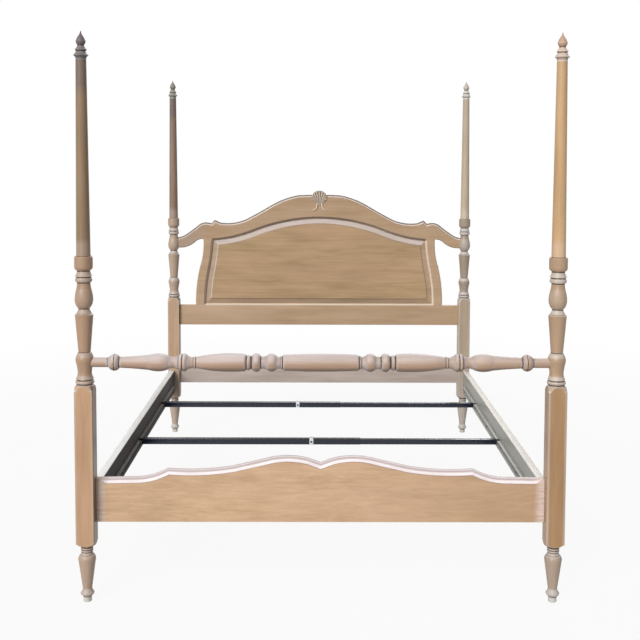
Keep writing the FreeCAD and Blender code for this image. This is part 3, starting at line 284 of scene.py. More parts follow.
def srgb(red, green, blue):
    """A colour as it looks on screen, 0 to 255, in the numbers that shaders use."""
    shades = [channel / 255 for channel in (red, green, blue)]
    linear = [c / 12.92 if c <= 0.04045 else ((c + 0.055) / 1.055) ** 2.4 for c in shades]
    return (*linear, 1.0)


def new_group(name, inputs, outputs):
    """An empty node group with named inputs and outputs."""
    tree = bpy.data.node_groups.new(name, "ShaderNodeTree")
    for label, kind in inputs:
        tree.interface.new_socket(label, in_out="INPUT", socket_type="NodeSocket" + kind)
    for label, kind in outputs:
        tree.interface.new_socket(label, in_out="OUTPUT", socket_type="NodeSocket" + kind)
    return tree, tree.nodes.new("NodeGroupInput").outputs, tree.nodes.new("NodeGroupOutput").inputs


def use_group(tree, group, inputs):
    """A node group placed in a material with its own values."""
    return node(tree, "ShaderNodeGroup", inputs, node_tree=group).outputs


GRAIN_LOOSE = 0.14
GRAIN_WANDER = (0.03, 0.03, 0.03)


def make_wood_grain():
    """Group: blotches, streaks and pores of wood, drawn out along the grain by Stretch."""
    tree, given, made = new_group(
        "wood_grain",
        (("Place", "Vector"), ("Stretch", "Vector")),
        (("Blotch", "Float"), ("Tint", "Float"), ("Streak", "Float"), ("Pore", "Float"), ("Height", "Float")))
    stretched = {0: given["Place"], 1: given["Stretch"]}
    drawn = node(tree, "ShaderNodeVectorMath", stretched, operation="MULTIPLY").outputs[0]
    loosened = {0: GRAIN_LOOSE, 4: drawn, 5: given["Place"]}
    loose = node(tree, "ShaderNodeMix", loosened, data_type="VECTOR").outputs[1]
    wander = node(tree, "ShaderNodeTexNoise", {"Vector": loose, "Scale": 11.0, "Detail": 2.0})
    wandered = {0: wander.outputs["Color"], 1: GRAIN_WANDER, 2: drawn}
    bent = node(tree, "ShaderNodeVectorMath", wandered, operation="MULTIPLY_ADD").outputs[0]
    noises = {}
    for label, place, scale, detail in (
            ("Blotch", loose, 18.0, 2.5),
            ("Tint", loose, 9.0, 2.0),
            ("Streak", bent, 120.0, 4.0),
            ("Dash", bent, 430.0, 2.0)):
        look = {"Vector": place, "Scale": scale, "Detail": detail, "Roughness": 0.6}
        noises[label] = node(tree, "ShaderNodeTexNoise", look).outputs[0]
    pore = spread(tree, noises["Dash"], 0.60, 0.72)
    for label, low, high in (("Blotch", 0.32, 0.68), ("Tint", 0.34, 0.66), ("Streak", 0.28, 0.72)):
        tree.links.new(spread(tree, noises[label], low, high), made[label])
    tree.links.new(pore, made["Pore"])
    tree.links.new(math_node(tree, "SUBTRACT", noises["Streak"], pore), made["Height"])
    return tree


def make_pickled_finish():
    """Group: pale wash that lies in the hollows and on eased edges, and thin lines of brown glaze; the same
    two layers also lay painted light and painted shade.
    """
    tree, given, made = new_group(
        "pickled_finish_and_light",
        (("Wood", "Color"), ("Wash Colour", "Color"), ("Glaze Colour", "Color"), ("Wash", "Float"),
         ("Glaze", "Float"), ("Spread", "Float"), ("Blotch", "Float"), ("Streak", "Float")),
        (("Color", "Color"), ("Cover", "Float")))
    worn = between(tree, given["Streak"], 0.72, 1.0)
    held = math_node(tree, "MULTIPLY", given["Wash"], worn)
    cloud = between(tree, given["Blotch"], 0.45, 1.3)
    film = math_node(tree, "MULTIPLY", given["Spread"], cloud)
    bare = math_node(tree, "SUBTRACT", 1.0, held)
    cover = math_node(tree, "ADD", held, math_node(tree, "MULTIPLY", film, bare))
    washed = mix(tree, cover, given["Wood"], given["Wash Colour"])
    tree.links.new(mix(tree, given["Glaze"], washed, given["Glaze Colour"]), made["Color"])
    tree.links.new(cover, made["Cover"])
    return tree


def make_worn_paint():
    """Group: fine mottling and scuffs for painted steel and moulded plastic."""
    tree, given, made = new_group(
        "worn_paint", (("Place", "Vector"), ("Size", "Float")), (("Mottle", "Float"), ("Scuff", "Float")))
    finer = math_node(tree, "MULTIPLY", given["Size"], 5.0)
    for label, size, detail, low, high in (
            ("Mottle", given["Size"], 4.0, 0.3, 0.7),
            ("Scuff", finer, 3.0, 0.62, 0.74)):
        look = {"Vector": given["Place"], "Scale": size, "Detail": detail}
        noise = node(tree, "ShaderNodeTexNoise", look)
        tree.links.new(spread(tree, noise.outputs[0], low, high), made[label])
    return tree


WOOD_GRAIN = make_wood_grain()
PICKLED_FINISH = make_pickled_finish()
WORN_PAINT = make_worn_paint()
GRAIN_ACROSS = (0.035, 1.0, 1.0)
GRAIN_BROAD = (0.12, 1.0, 1.0)
GRAIN_ALONG = (1.0, 0.035, 1.0)
GRAIN_UP = (1.0, 1.0, 0.05)
WASH_CREAM = (228, 212, 200)
WASH_GREY = (206, 198, 192)
WASH_POST = (206, 199, 192)
GLAZE_BROWN = (92, 72, 58)
GLAZE_GREY = (96, 90, 88)
# Most that each layer of the wood's pattern covers, and its tone as a share of the contrast
TINT_MOST = 0.55
STREAK_MOST = 0.42
STREAK_TONE = 0.8
PORE_MOST = 0.3
PORE_TONE = -1.5
WASH_MATT = 0.18
GRAIN_BUMP = 0.25
GRAIN_RELIEF = 0.4 * MM
MOTTLE_MOST = 0.45
SCUFF_MOST = 0.35
MOTTLE_MATT = 0.14
MOTTLE_BUMP = 0.12
MOTTLE_RELIEF = 0.2 * MM
# Darker wood is also redder: share of the shade in red, green and blue
SHADE_SHARES = (1.0, 1.12, 1.25)


def new_material(name):
    """A material with its Principled shader, and the place on the piece that its patterns follow."""
    material = bpy.data.materials.new(name)
    material.use_nodes = True
    tree = material.node_tree
    place = tree.nodes.new("ShaderNodeTexCoord").outputs["Object"]
    return material, tree, tree.nodes["Principled BSDF"].inputs, place


def painted_mask(tree, name):
    """A mask that the piece's own points carry."""
    return node(tree, "ShaderNodeAttribute", attribute_name=name).outputs["Fac"]


def shaded(colour, amount):
    """A screen colour made lighter or, below zero, darker."""
    return srgb(*(min(255, channel * (1 + amount * share)) for channel, share in zip(colour, SHADE_SHARES)))


def finish_surface(tree, shader, colour, roughness, height, strength, relief):
    """Colour, roughness and fine relief joined to a material's shader."""
    bump = node(tree, "ShaderNodeBump", {"Strength": strength, "Distance": relief, "Height": height})
    tree.links.new(colour, shader["Base Color"])
    tree.links.new(roughness, shader["Roughness"])
    tree.links.new(bump.outputs[0], shader["Normal"])


def wood_finish(name, wood, stretch, contrast=0.09, wash=WASH_CREAM, glaze=GLAZE_BROWN, film=0.0, tint=None,
                end_band=None, right_shade=None, rough=0.42, specular=0.28):
    """Pickled wood: tones of one wood, the wash over them, and the glaze in the lines; wash and glaze also
    carry painted light and painted shade.
    """
    material, tree, shader, place = new_material(name)
    grain = use_group(tree, WOOD_GRAIN, {"Place": place, "Stretch": stretch})
    ground = mix(tree, grain["Blotch"], shaded(wood, -contrast), srgb(*wood))
    if tint:
        ground = mix(tree, spread(tree, grain["Tint"], 0.2, 1.0, 0.0, TINT_MOST), ground, srgb(*tint))
    streak = spread(tree, grain["Streak"], 0.25, 1.0, 0.0, STREAK_MOST)
    lit = mix(tree, streak, ground, shaded(wood, contrast * STREAK_TONE))
    pore = between(tree, grain["Pore"], 0.0, PORE_MOST)
    grained = mix(tree, pore, lit, shaded(wood, contrast * PORE_TONE))
    # The wash mask also carries painted light, the glaze mask painted shade
    wash_mask = painted_mask(tree, "wash")
    sideways = node(tree, "ShaderNodeSeparateXYZ", {0: place}).outputs[0]
    if right_shade:
        start, full, amount = right_shade
        grained = mix(tree, spread(tree, sideways, start, full), grained, shaded(wood, amount))
    if end_band:
        start, full = end_band
        far = math_node(tree, "ABSOLUTE", sideways, 0.0)
        patchy = between(tree, grain["Streak"], 0.25, 0.6)
        band = math_node(tree, "MULTIPLY", spread(tree, far, start, full), patchy)
        wash_mask = math_node(tree, "MAXIMUM", wash_mask, band)
    finish = use_group(tree, PICKLED_FINISH, {
        "Wood": grained, "Wash Colour": srgb(*wash), "Glaze Colour": srgb(*glaze), "Wash": wash_mask,
        "Glaze": painted_mask(tree, "glaze"), "Spread": film,
        "Blotch": grain["Blotch"], "Streak": grain["Streak"]})
    roughness = between(tree, finish["Cover"], rough, rough + WASH_MATT)
    finish_surface(tree, shader, finish["Color"], roughness, grain["Height"], GRAIN_BUMP, GRAIN_RELIEF)
    shader["Specular IOR Level"].default_value = specular
    return material


def hard_finish(name, plain, worn, size, rough, metal=0.0):
    """Painted or bare steel, or moulded plastic, with mottling and scuffs."""
    material, tree, shader, place = new_material(name)
    paint = use_group(tree, WORN_PAINT, {"Place": place, "Size": size})
    ground = mix(tree, between(tree, paint["Mottle"], 0.0, MOTTLE_MOST), srgb(*plain), srgb(*worn))
    colour = mix(tree, between(tree, paint["Scuff"], 0.0, SCUFF_MOST), ground, srgb(*worn))
    roughness = between(tree, paint["Mottle"], rough, rough + MOTTLE_MATT)
    finish_surface(tree, shader, colour, roughness, paint["Mottle"], MOTTLE_BUMP, MOTTLE_RELIEF)
    shader["Metallic"].default_value = metal
    return material


# The footboard is washed beside the posts, and has painted shade towards the right: from, to and amount
FOOT_TENON = 25 * MM
FOOT_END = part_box("footboard_panel")[1].x - FOOT_TENON
FOOT_BAND = (FOOT_END - 36 * MM, FOOT_END - 14 * MM)
FOOT_RIGHT_SHADE = (0.05, 1.3, -0.2)
RAIL_WOOD = (190, 156, 122)
# Raw wood inside the left rail hardly shines
RAW = {"rough": 0.7, "specular": 0.08}
WOOD_LOOKS = {
    "headboard_wood": dict(
        wood=(177, 148, 117), stretch=GRAIN_ACROSS, glaze=GLAZE_GREY, film=0.05, tint=(174, 146, 122)),
    "crest_wood": dict(
        wood=(174, 144, 112), stretch=GRAIN_ACROSS, glaze=GLAZE_GREY, film=0.05, tint=(165, 140, 115)),
    "panel_wood": dict(
        wood=(175, 147, 112), stretch=GRAIN_ACROSS, contrast=0.15, wash=(200, 190, 187), glaze=(94, 77, 69),
        tint=(178, 145, 117)),
    "bead_wood": dict(
        wood=(180, 151, 123), stretch=GRAIN_ACROSS, film=0.12, wash=(226, 210, 194), glaze=(84, 66, 56)),
    "shell_wood": dict(
        wood=(170, 151, 130), stretch=GRAIN_UP, contrast=0.12, film=0.10, wash=(232, 216, 196),
        glaze=(82, 72, 68)),
    "lower_rail_wood": dict(
        wood=(179, 164, 155), stretch=GRAIN_ACROSS, film=0.12, wash=WASH_GREY),
    "footboard_wood": dict(
        wood=(207, 173, 139), stretch=GRAIN_BROAD, contrast=0.13, wash=(244, 237, 240), glaze=(126, 104, 98),
        tint=(200, 166, 138), end_band=FOOT_BAND, right_shade=FOOT_RIGHT_SHADE),
    "blanket_wood": dict(
        wood=(175, 144, 117), stretch=GRAIN_ACROSS, film=0.08, wash=(221, 213, 214), glaze=(72, 64, 58),
        tint=(174, 136, 116)),
    # Rails and ledgers, left and right: their glazes and woods differ as painted shade, darkest inside on the
    # left, and their washes are the painted light on their tops
    "side_rail_wood_left": dict(
        wood=RAIL_WOOD, stretch=GRAIN_ALONG, wash=(252, 255, 254), glaze=(72, 72, 75), **RAW),
    "side_rail_wood_right": dict(
        wood=RAIL_WOOD, stretch=GRAIN_ALONG, wash=(246, 248, 246), glaze=(162, 164, 158)),
    "ledger_wood_left": dict(
        wood=(126, 122, 116), stretch=GRAIN_ALONG, contrast=0.2, wash=(206, 208, 206), glaze=(44, 44, 46),
        **RAW),
    "ledger_wood_right": dict(
        wood=(158, 156, 148), stretch=GRAIN_ALONG, contrast=0.2, wash=(228, 228, 224), glaze=(104, 102, 98)),
}
# Each corner's post, pole and finial takes its own tone: painted light and shade
for corner in CORNERS:
    WOOD_LOOKS["post_wood_" + corner] = dict(
        wood=POST_WOODS[corner], stretch=GRAIN_UP, film=0.05, wash=WASH_POST, glaze=(74, 58, 48),
        rough=0.34, specular=0.4)
    WOOD_LOOKS["pole_wood_" + corner] = dict(
        wood=POLE_WOODS[corner], stretch=GRAIN_UP, film=0.04, glaze=(90, 84, 92))
    WOOD_LOOKS["finial_wood_" + corner] = dict(
        wood=FINIAL_WOODS[corner], stretch=GRAIN_UP, film=0.06, wash=FINIAL_WASHES[corner],
        glaze=(54, 48, 48))
HARD_LOOKS = {
    "bar_steel": dict(plain=(20, 23, 38), worn=(40, 45, 62), size=90.0, rough=0.2),
    "clip_plastic": dict(plain=(228, 234, 236), worn=(208, 216, 220), size=120.0, rough=0.38),
    "dark_screw_steel": dict(plain=(58, 60, 66), worn=(90, 92, 96), size=300.0, rough=0.36, metal=0.7),
    "fitting_steel": dict(plain=(168, 168, 166), worn=(136, 134, 130), size=220.0, rough=0.32, metal=0.9),
    "glide_plastic": dict(plain=(206, 202, 194), worn=(184, 178, 170), size=160.0, rough=0.42),
}
FINISHES = {name: wood_finish(name, **look) for name, look in WOOD_LOOKS.items()}
FINISHES.update({name: hard_finish(name, **look) for name, look in HARD_LOOKS.items()})


# Shapes read from the frame

def node_points(name):
    """The node's points at rest."""
    points = frame["nodes"][name].data.vertices
    flat = np.empty(len(points) * 3, np.float32)
    points.foreach_get("co", flat)
    return flat.reshape(-1, 3).astype(float)


def other_axes(axis):
    """The two axes square to one."""
    return [k for k in range(3) if k != axis]


def turned_outline(points, axis, centre):
    """Rows of (place along the axis, largest radius there) of a turned shape, from points on its skin."""
    offset = points[:, other_axes(axis)] - centre
    radius = np.hypot(offset[:, 0], offset[:, 1])
    rows = {}
    for place, reach in zip(np.round(points[:, axis], 5), radius):
        rows[place] = max(rows.get(place, 0.0), reach)
    return np.array(sorted(rows.items()))


def parts_of(length, step):
    """Number of equal parts, none longer than a step, in a length."""
    return max(1, math.ceil(length / step - TINY))


def closer_rows(rows, step):
    """The outline with straight stretches divided, so that no two rows are further apart than a step."""
    filled = [rows[0]]
    for row in rows[1:]:
        start = filled[-1]
        parts = parts_of(row[0] - start[0], step)
        filled += [start + (row - start) * part / parts for part in range(1, parts + 1)]
    return np.array(filled)


def hollows(rows):
    """0 on the swells of a turning, up to 1 in its grooves."""
    place, radius = rows.T
    near = np.abs(place[:, None] - place[None, :]) < HOLLOW_REACH
    around = np.where(near, radius[None, :], 0).max(axis=1)
    return np.clip((around - radius - HOLLOW_SLOPE) / HOLLOW_DEPTH, 0, 1)


def dips(rows):
    """How far each row of a turning lies below its neighbours on both sides; less than zero on a crest."""
    place, radius = rows.T
    before = np.interp(place - CREASE_REACH, place, radius)
    after = np.interp(place + CREASE_REACH, place, radius)
    return (before + after) / 2 - radius


def creases(rows):
    """0 on open stretches of a turning, up to 1 where two of its members meet in a sharp line."""
    return np.clip((dips(rows) - CREASE_START) / CREASE_DEPTH, 0, 1)


def crests(rows):
    """0 on open stretches of a turning, up to 1 on its narrow rings."""
    return np.clip((-dips(rows) - CREASE_START) / CREASE_DEPTH, 0, 1)


def turned_rows(rows, step=ROW_STEP):
    """The outline with its straight stretches divided, finely beside its creases."""
    corners = set(rows[:, 0])
    fine = closer_rows(rows, CREASE_STEP)
    near = np.convolve(creases(fine) > 0, np.ones(CREASE_ROWS), "same") > 0
    kept = [fine[0]]
    for row, beside in zip(fine[1:], near[1:]):
        if beside or row[0] in corners or row[0] - kept[-1][0] >= step:
            kept.append(row)
    return np.array(kept)


def in_bands(heights, bands):
    """Amount of wash at each height, from bands with soft ends."""
    amount = np.zeros(len(heights))
    for low, high, most in bands:
        inside = np.minimum(heights - low, high - heights)
        amount = np.maximum(amount, most * np.clip(inside / BAND_FADE + 0.5, 0, 1))
    return amount


def flat_outline(name, depth):
    """The outline, in x and z, of the node's face that lies flat at one depth."""
    points = np.round(node_points(name), 5)
    open_edges = {}
    for polygon in frame["nodes"][name].data.polygons:
        corners = points[list(polygon.vertices)]
        if np.abs(corners[:, ALONG] - depth).max() > SAME_DEPTH:
            continue
        places = [tuple(corner) for corner in corners[:, [ACROSS, UP]]]
        for start, end in zip(places, places[1:] + places[:1]):
            if open_edges.pop((end, start), None) is None:
                open_edges[start, end] = True
    following = dict(open_edges.keys())
    loops = []
    while following:
        start, step = following.popitem()
        loop = [start]
        while step != start:
            loop.append(step)
            step = following.pop(step)
        loops.append(np.array(loop))
    return max(loops, key=lambda loop: abs(loop_area(loop)))


def loop_area(loop):
    """Area inside a closed outline, negative where it runs clockwise."""
    ahead = np.roll(loop, -1, axis=0)
    return float(np.sum(loop[:, 0] * ahead[:, 1] - ahead[:, 0] * loop[:, 1]) / 2)


def closer_loop(loop, step):
    """A closed outline with its long straight stretches divided, running anticlockwise."""
    if loop_area(loop) < 0:
        loop = loop[::-1]
    filled = []
    for start, end in zip(loop, np.roll(loop, -1, axis=0)):
        parts = parts_of(np.linalg.norm(end - start), step)
        filled += [start + (end - start) * part / parts for part in range(parts)]
    return np.array(filled)


def outward_ways(loop):
    """Outward direction at each point of an anticlockwise outline, and its mitred length."""
    ahead = np.roll(loop, -1, axis=0) - loop
    ahead /= np.linalg.norm(ahead, axis=1)[:, None]
    after = np.stack((ahead[:, 1], -ahead[:, 0]), axis=1)
    before = np.roll(after, 1, axis=0)
    total = before + after
    way = total / np.linalg.norm(total, axis=1)[:, None]
    mitre = 1 / np.maximum(np.sum(way * after, axis=1), 1 / MITRE_LIMIT)
    return way, mitre


def inset_loop(loop, inset):
    """An outline moved inwards; points that would fold over at an outer corner gather in it."""
    way, mitre = outward_ways(loop)
    moved = loop - way * (mitre * inset)[:, None]
    if inset <= 0:
        return moved
    count = len(loop)
    run = np.roll(loop, -1, axis=0) - loop
    length = np.linalg.norm(run, axis=1)
    before = np.roll(run, 1, axis=0)
    turn = np.arctan2(before[:, 0] * run[:, 1] - before[:, 1] * run[:, 0], np.sum(before * run, axis=1))
    for corner in np.flatnonzero(turn > CORNER_TURN):
        reach = inset * math.tan(turn[corner] / 2)
        for step in (1, -1):
            gone = 0.0
            index = corner
            while True:
                gone += length[index if step > 0 else index - 1]
                index = (index + step) % count
                if gone >= reach:
                    break
                moved[index] = moved[corner]
    return moved


def squared_ends(loop, reach, end):
    """The outline with what lies beyond a reach to either side made a plain square end."""
    kept = np.abs(loop[:, 0]) <= reach
    first = int(np.flatnonzero(kept & ~np.roll(kept, 1))[0])
    loop = np.roll(loop, -first, axis=0)
    kept = np.roll(kept, -first)
    outline = []
    for k, point in enumerate(loop):
        if kept[k]:
            outline.append(point)
        if kept[k] and not kept[(k + 1) % len(loop)]:
            after = k + 1
            while not kept[after % len(loop)]:
                after += 1
            way = math.copysign(end, point[0])
            outline += [(way, point[1]), (way, loop[after % len(loop)][1])]
    return np.array(outline)


def gap_to_outline(points, loop):
    """Distance from each point to the nearest stretch of a closed outline."""
    start = loop[None, :, :]
    run = (np.roll(loop, -1, axis=0) - loop)[None, :, :]
    offset = points[:, None, :] - start
    share = np.clip(np.sum(offset * run, axis=2) / np.sum(run * run, axis=2), 0, 1)
    return np.linalg.norm(offset - share[:, :, None] * run, axis=2).min(axis=1)


# Meshes

def tube(rings, close="caps"):
    """Points and faces of a skin through rings: its ends get caps or middle points, or meet as a ring."""
    rings = np.asarray(rings)
    count, columns = rings.shape[:2]
    here = np.arange(count * columns).reshape(count, columns)
    there = np.roll(here, -1, axis=1)
    last = None if close == "ring" else -1
    sides = np.stack((here, there, np.roll(there, -1, axis=0), np.roll(here, -1, axis=0)), axis=-1)
    faces = sides[:last].reshape(-1, 4).tolist()
    points = rings.reshape(-1, 3)
    if close == "caps":
        faces += [here[0][::-1].tolist(), here[-1].tolist()]
    if close == "points":
        first = count * columns
        faces += [(first, b, a) for a, b in zip(here[0].tolist(), there[0].tolist())]
        faces += [(first + 1, a, b) for a, b in zip(here[-1].tolist(), there[-1].tolist())]
        points = np.vstack((points, rings[0].mean(axis=0), rings[-1].mean(axis=0)))
    return points, faces


def together(shapes):
    """Several shapes as one, each still closed on its own."""
    faces = []
    start = 0
    for points, shape_faces in shapes:
        faces += [[start + index for index in face] for face in shape_faces]
        start += len(points)
    return np.vstack([points for points, _ in shapes]), faces


def piece(name, shape, body, slot, nodes, sharp=SHARP_ANGLE, finish=None, **masks):
    """A mesh that rides a body, stands for CAD nodes and has the finish of a slot, or a tone of it."""
    points, faces = shape
    mesh = bpy.data.meshes.new(name)
    mesh.from_pydata([tuple(point) for point in points], [], faces)
    for mask, values in masks.items():
        layer = mesh.attributes.new(mask, "FLOAT", "POINT")
        layer.data.foreach_set("value", np.asarray(values, np.float32))
    work = bmesh.new()
    work.from_mesh(mesh)
    bmesh.ops.remove_doubles(work, verts=work.verts, dist=SAME_POINT)
    bmesh.ops.recalc_face_normals(work, faces=work.faces)
    work.to_mesh(mesh)
    work.free()
    mesh.shade_smooth()
    mesh.set_sharp_from_angle(angle=sharp)
    for polygon in mesh.polygons:
        if polygon.loop_total > CAP_SIDES:
            for loop in polygon.loop_indices:
                mesh.edges[mesh.loops[loop].edge_index].use_edge_sharp = True
    mesh.materials.append(FINISHES[finish or slot])
    made = bpy.data.objects.new(name, mesh)
    bpy.context.scene.collection.objects.link(made)
    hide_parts(*nodes)
    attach(made, body)


def turned(rows, axis, centre, columns=TURN_COLUMNS):
    """Skin turned round an axis from rows of (place, radius); rows at the ends may lie on the axis."""
    angles = np.arange(columns) * 2 * math.pi / columns
    first, second = other_axes(axis)
    rings = np.zeros((len(rows), columns, 3))
    rings[:, :, axis] = rows[:, :1]
    rings[:, :, first] = centre[0] + rows[:, 1:] * np.cos(angles)
    rings[:, :, second] = centre[1] + rows[:, 1:] * np.sin(angles)
    return tube(rings, "points")


def over_rings(values):
    """One value for each ring, given to all its points and to the two end points."""
    values = np.asarray(values, float)
    return np.concatenate((np.repeat(values, TURN_COLUMNS), values[[0, -1]]))


def corner_places(corner):
    """Centre of a post in plan."""
    low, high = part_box("post_" + corner)
    return (low.x + high.x) / 2, (low.y + high.y) / 2


def side_of(corner):
    """The side of the bed that a corner is on."""
    return corner.split("_")[1]


def off_axis(points, corner):
    """Distance of points from the axis of the post at a corner."""
    x, y = corner_places(corner)
    return np.hypot(points[:, 0] - x, points[:, 1] - y)


def near_corner(points, corner):
    """The points of a shared node that belong to one corner of the bed."""
    x, y = corner_places(corner)
    return points[(points[:, 0] * x > 0) & (points[:, 1] * y > 0)]


# Posts, poles and finials

def eased_square(angle, half):
    """Reach of a square with eased corners, at an angle from the middle of a side."""
    flat = half - BLOCK_EASE
    on_side = half * np.tan(angle) <= flat
    turn = np.sqrt(np.maximum(BLOCK_EASE ** 2 - (flat * (np.cos(angle) - np.sin(angle))) ** 2, 0))
    return np.where(on_side, half / np.cos(angle), flat * (np.cos(angle) + np.sin(angle)) + turn)


def post_angles(split):
    """Angles of one side's columns, closer together where the flat of the block ends."""
    eighth = math.pi / 4
    steps = FACE_COLUMNS // 4
    turn = np.linspace(0, 1, steps + 1)
    rising = -eighth + (eighth - split) * turn
    level = -split + 2 * split * np.linspace(0, 1, 2 * steps + 1)[1:]
    falling = split + (eighth - split) * turn[1:-1]
    return np.concatenate((rising, level, falling))


def post_rows(corner, half):
    """Rows of a post's outline, closest where the block meets the turning, and the block's two ends."""
    x, y = corner_places(corner)
    points = node_points("post_" + corner)
    outside = ((points[:, :2] - (x, y)) * np.sign((x, y)) > POST_MIDDLE).all(axis=1)
    skin = points[outside & (off_axis(points, corner) > POST_BORE)]
    rows = turned_rows(turned_outline(skin, UP, (x, y)))
    square = rows[rows[:, 1] > half, 0]
    bottom, top = square.min(), square.max()
    fine = [rows[0]]
    for start, end in zip(rows, rows[1:]):
        on_block = end[0] > bottom - ROW_STEP and start[0] < top + ROW_STEP
        if on_block and min(start[1], end[1]) <= half * WHOLE_CORNER:
            fine += list(closer_rows(np.array([start, end]), POMMEL_STEP)[1:])
        else:
            fine.append(end)
    return np.array(fine), (bottom, top)


def build_post(corner):
    """Turned post with its square block; the block's corners are eased and its shoulders arched."""
    x, y = corner_places(corner)
    node_name = "post_" + corner
    half = (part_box(node_name)[1].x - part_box(node_name)[0].x) / 2
    rows, shoulders = post_rows(corner, half)
    corner_turn = math.atan((half - BLOCK_EASE) / half)
    inner_side = 0 if x < 0 else 2
    rings = []
    washes = []
    glazes = []
    # Darker feet, and painted shade over the turned parts by corner; glaze in the creases, widened as painted
    # shade
    dark = np.where(rows[:, 0] > shoulders[1], TURNED_SHADE[corner], FOOT_SHADE)
    dark = np.maximum(creases(rows), dark)
    pale = np.maximum(in_bands(rows[:, 0], POST_BANDS) * BAND_SHARE[corner], TURNED_WASH[corner])
    for (height, radius), wash, glaze in zip(rows, pale, dark):
        square = radius > half
        if square:
            split = min(math.acos(half / radius), corner_turn)
        else:
            away = min(abs(height - shoulder) for shoulder in shoulders)
            split = EVEN_SPLIT * min(1, away / BLOCK_FADE)
        side = post_angles(split)
        angles = np.concatenate([side + quarter * math.pi / 2 for quarter in range(4)])
        reach = np.tile(np.minimum(radius, eased_square(np.abs(side), half)), 4)
        level = np.full(len(angles), height)
        rings.append(np.stack((x + reach * np.cos(angles), y + reach * np.sin(angles), level), axis=1))
        if square:
            grey = np.clip((REAR_GREY_TOP - height) / REAR_GREY_FADE, 0, 1) * (y > 0)
            chipped = abs(height - shoulders[1] + CHIP_DROP) < CHIP_HALF
            edge_wash_here = CHIP_WASH if chipped else BLOCK_EDGE_WASH[side_of(corner)]
            edge = np.tile(np.abs(side) >= split - TINY, 4)
            inner = np.arange(len(angles)) // len(side) == inner_side
            wash = np.maximum(edge * edge_wash_here, grey * REAR_GREY_WASH)
            # Painted shade on the face of the left posts' blocks that looks towards the bed
            glaze = np.maximum(inner * INNER_FACE_SHADE[side_of(corner)], grey * REAR_GREY_GLAZE)
        washes.append(np.broadcast_to(wash, len(angles)))
        glazes.append(np.broadcast_to(glaze, len(angles)))
    piece(node_name + "_turned", tube(rings, "points"), "bed_frame", "post_wood", [node_name],
          finish="post_wood_" + corner,
          wash=np.concatenate(washes + [[0, 0]]), glaze=np.concatenate(glazes + [[0, 0]]))


def build_pole(corner):
    """Tapered pole with a bore at the foot for the stud and one at the top for the finial's pin."""
    x, y = corner_places(corner)
    node_name = "pole_" + corner
    points = node_points(node_name)
    rows = turned_outline(points[off_axis(points, corner) > POST_BORE], UP, (x, y))
    (low, foot), (high, top) = rows[0], rows[-1]
    stud = near_corner(node_points("pole_studs"), corner)
    stud_room = stud[:, 0].max() - x + BORE_PLAY
    stud_end = stud[:, 2].max() + BORE_SPACE
    pin_low, pin_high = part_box("finial_pin_" + corner)
    pin_room = (pin_high.x - pin_low.x) / 2 + BORE_PLAY
    pin_end = pin_low.z - BORE_SPACE
    stud_bore = [(stud_end, stud_room / 2), (stud_end, stud_room), (low + ARRIS, stud_room),
                 (low, stud_room + ARRIS), (low, foot - ARRIS)]
    skin = closer_rows(np.array([(low + ARRIS, foot), (high - ARRIS, top)]), POLE_STEP)
    pin_bore = [(high, top - ARRIS), (high, pin_room + ARRIS), (high - ARRIS, pin_room),
                (pin_end, pin_room), (pin_end, pin_room / 2)]
    outline = np.vstack((stud_bore, skin, pin_bore))
    dark = np.clip((outline[:, 0] - high + POLE_TOP_REACH) / POLE_FADE, 0, 1)
    worn = np.clip((low + POLE_FOOT_REACH - outline[:, 0]) / POLE_FADE, 0, 1)
    piece(node_name + "_turned", turned(outline, UP, (x, y)), "pole_" + corner, "pole_wood", [node_name],
          finish="pole_wood_" + corner,
          wash=over_rings(worn * POLE_FOOT_WASH), glaze=over_rings(dark * POLE_TOP_SHADE[side_of(corner)]))


def build_finial(corner):
    """Finial turned as a collar, a waisted disc and a flame."""
    centre = corner_places(corner)
    node_name = "finial_" + corner
    points = node_points(node_name)
    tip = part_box(node_name)[1].z
    skin = (off_axis(points, corner) > FINIAL_BORE) | (points[:, 2] > tip - FINIAL_TIP)
    rows = turned_rows(turned_outline(points[skin], UP, centre), FINIAL_STEP)
    # Wash on the collar, and on the rings partly as painted highlight; glaze in the creases partly as painted
    # shade
    collar = FINIAL_COLLAR_WASH * (rows[:, 0] < rows[0, 0] + FINIAL_COLLAR)
    piece(node_name + "_turned", turned(rows, UP, centre), "finial_" + corner, "finial_wood", [node_name],
          finish="finial_wood_" + corner,
          wash=over_rings(np.maximum(crests(rows), collar) * FINIAL_WASH),
          glaze=over_rings(creases(rows) * FINIAL_GLAZE))


def build_glides():
    """Moulded glide under each foot, with a rounded rim and a groove."""
    shapes = []
    for corner in CORNERS:
        points = near_corner(node_points("foot_glides"), corner)
        reach = off_axis(points, corner).max()
        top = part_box("post_" + corner)[0].z
        turn = np.linspace(0, math.pi / 2, GLIDE_RIM_ROWS)
        outline = [(GLIDE_RIM * (1 - math.cos(a)), reach - GLIDE_RIM * (1 - math.sin(a))) for a in turn]
        for share, depth in zip(GLIDE_GROOVE_PLACES, (0, GLIDE_GROOVE, GLIDE_GROOVE, 0)):
            outline.append((top * share, reach - depth))
        outline += [(top - GLIDE_EDGE, reach), (top, reach - GLIDE_EDGE)]
        shapes.append(turned(np.array(outline), UP, corner_places(corner), GLIDE_COLUMNS))
    piece("foot_glides_moulded", together(shapes), "bed_frame", "glide_plastic", ["foot_glides"])


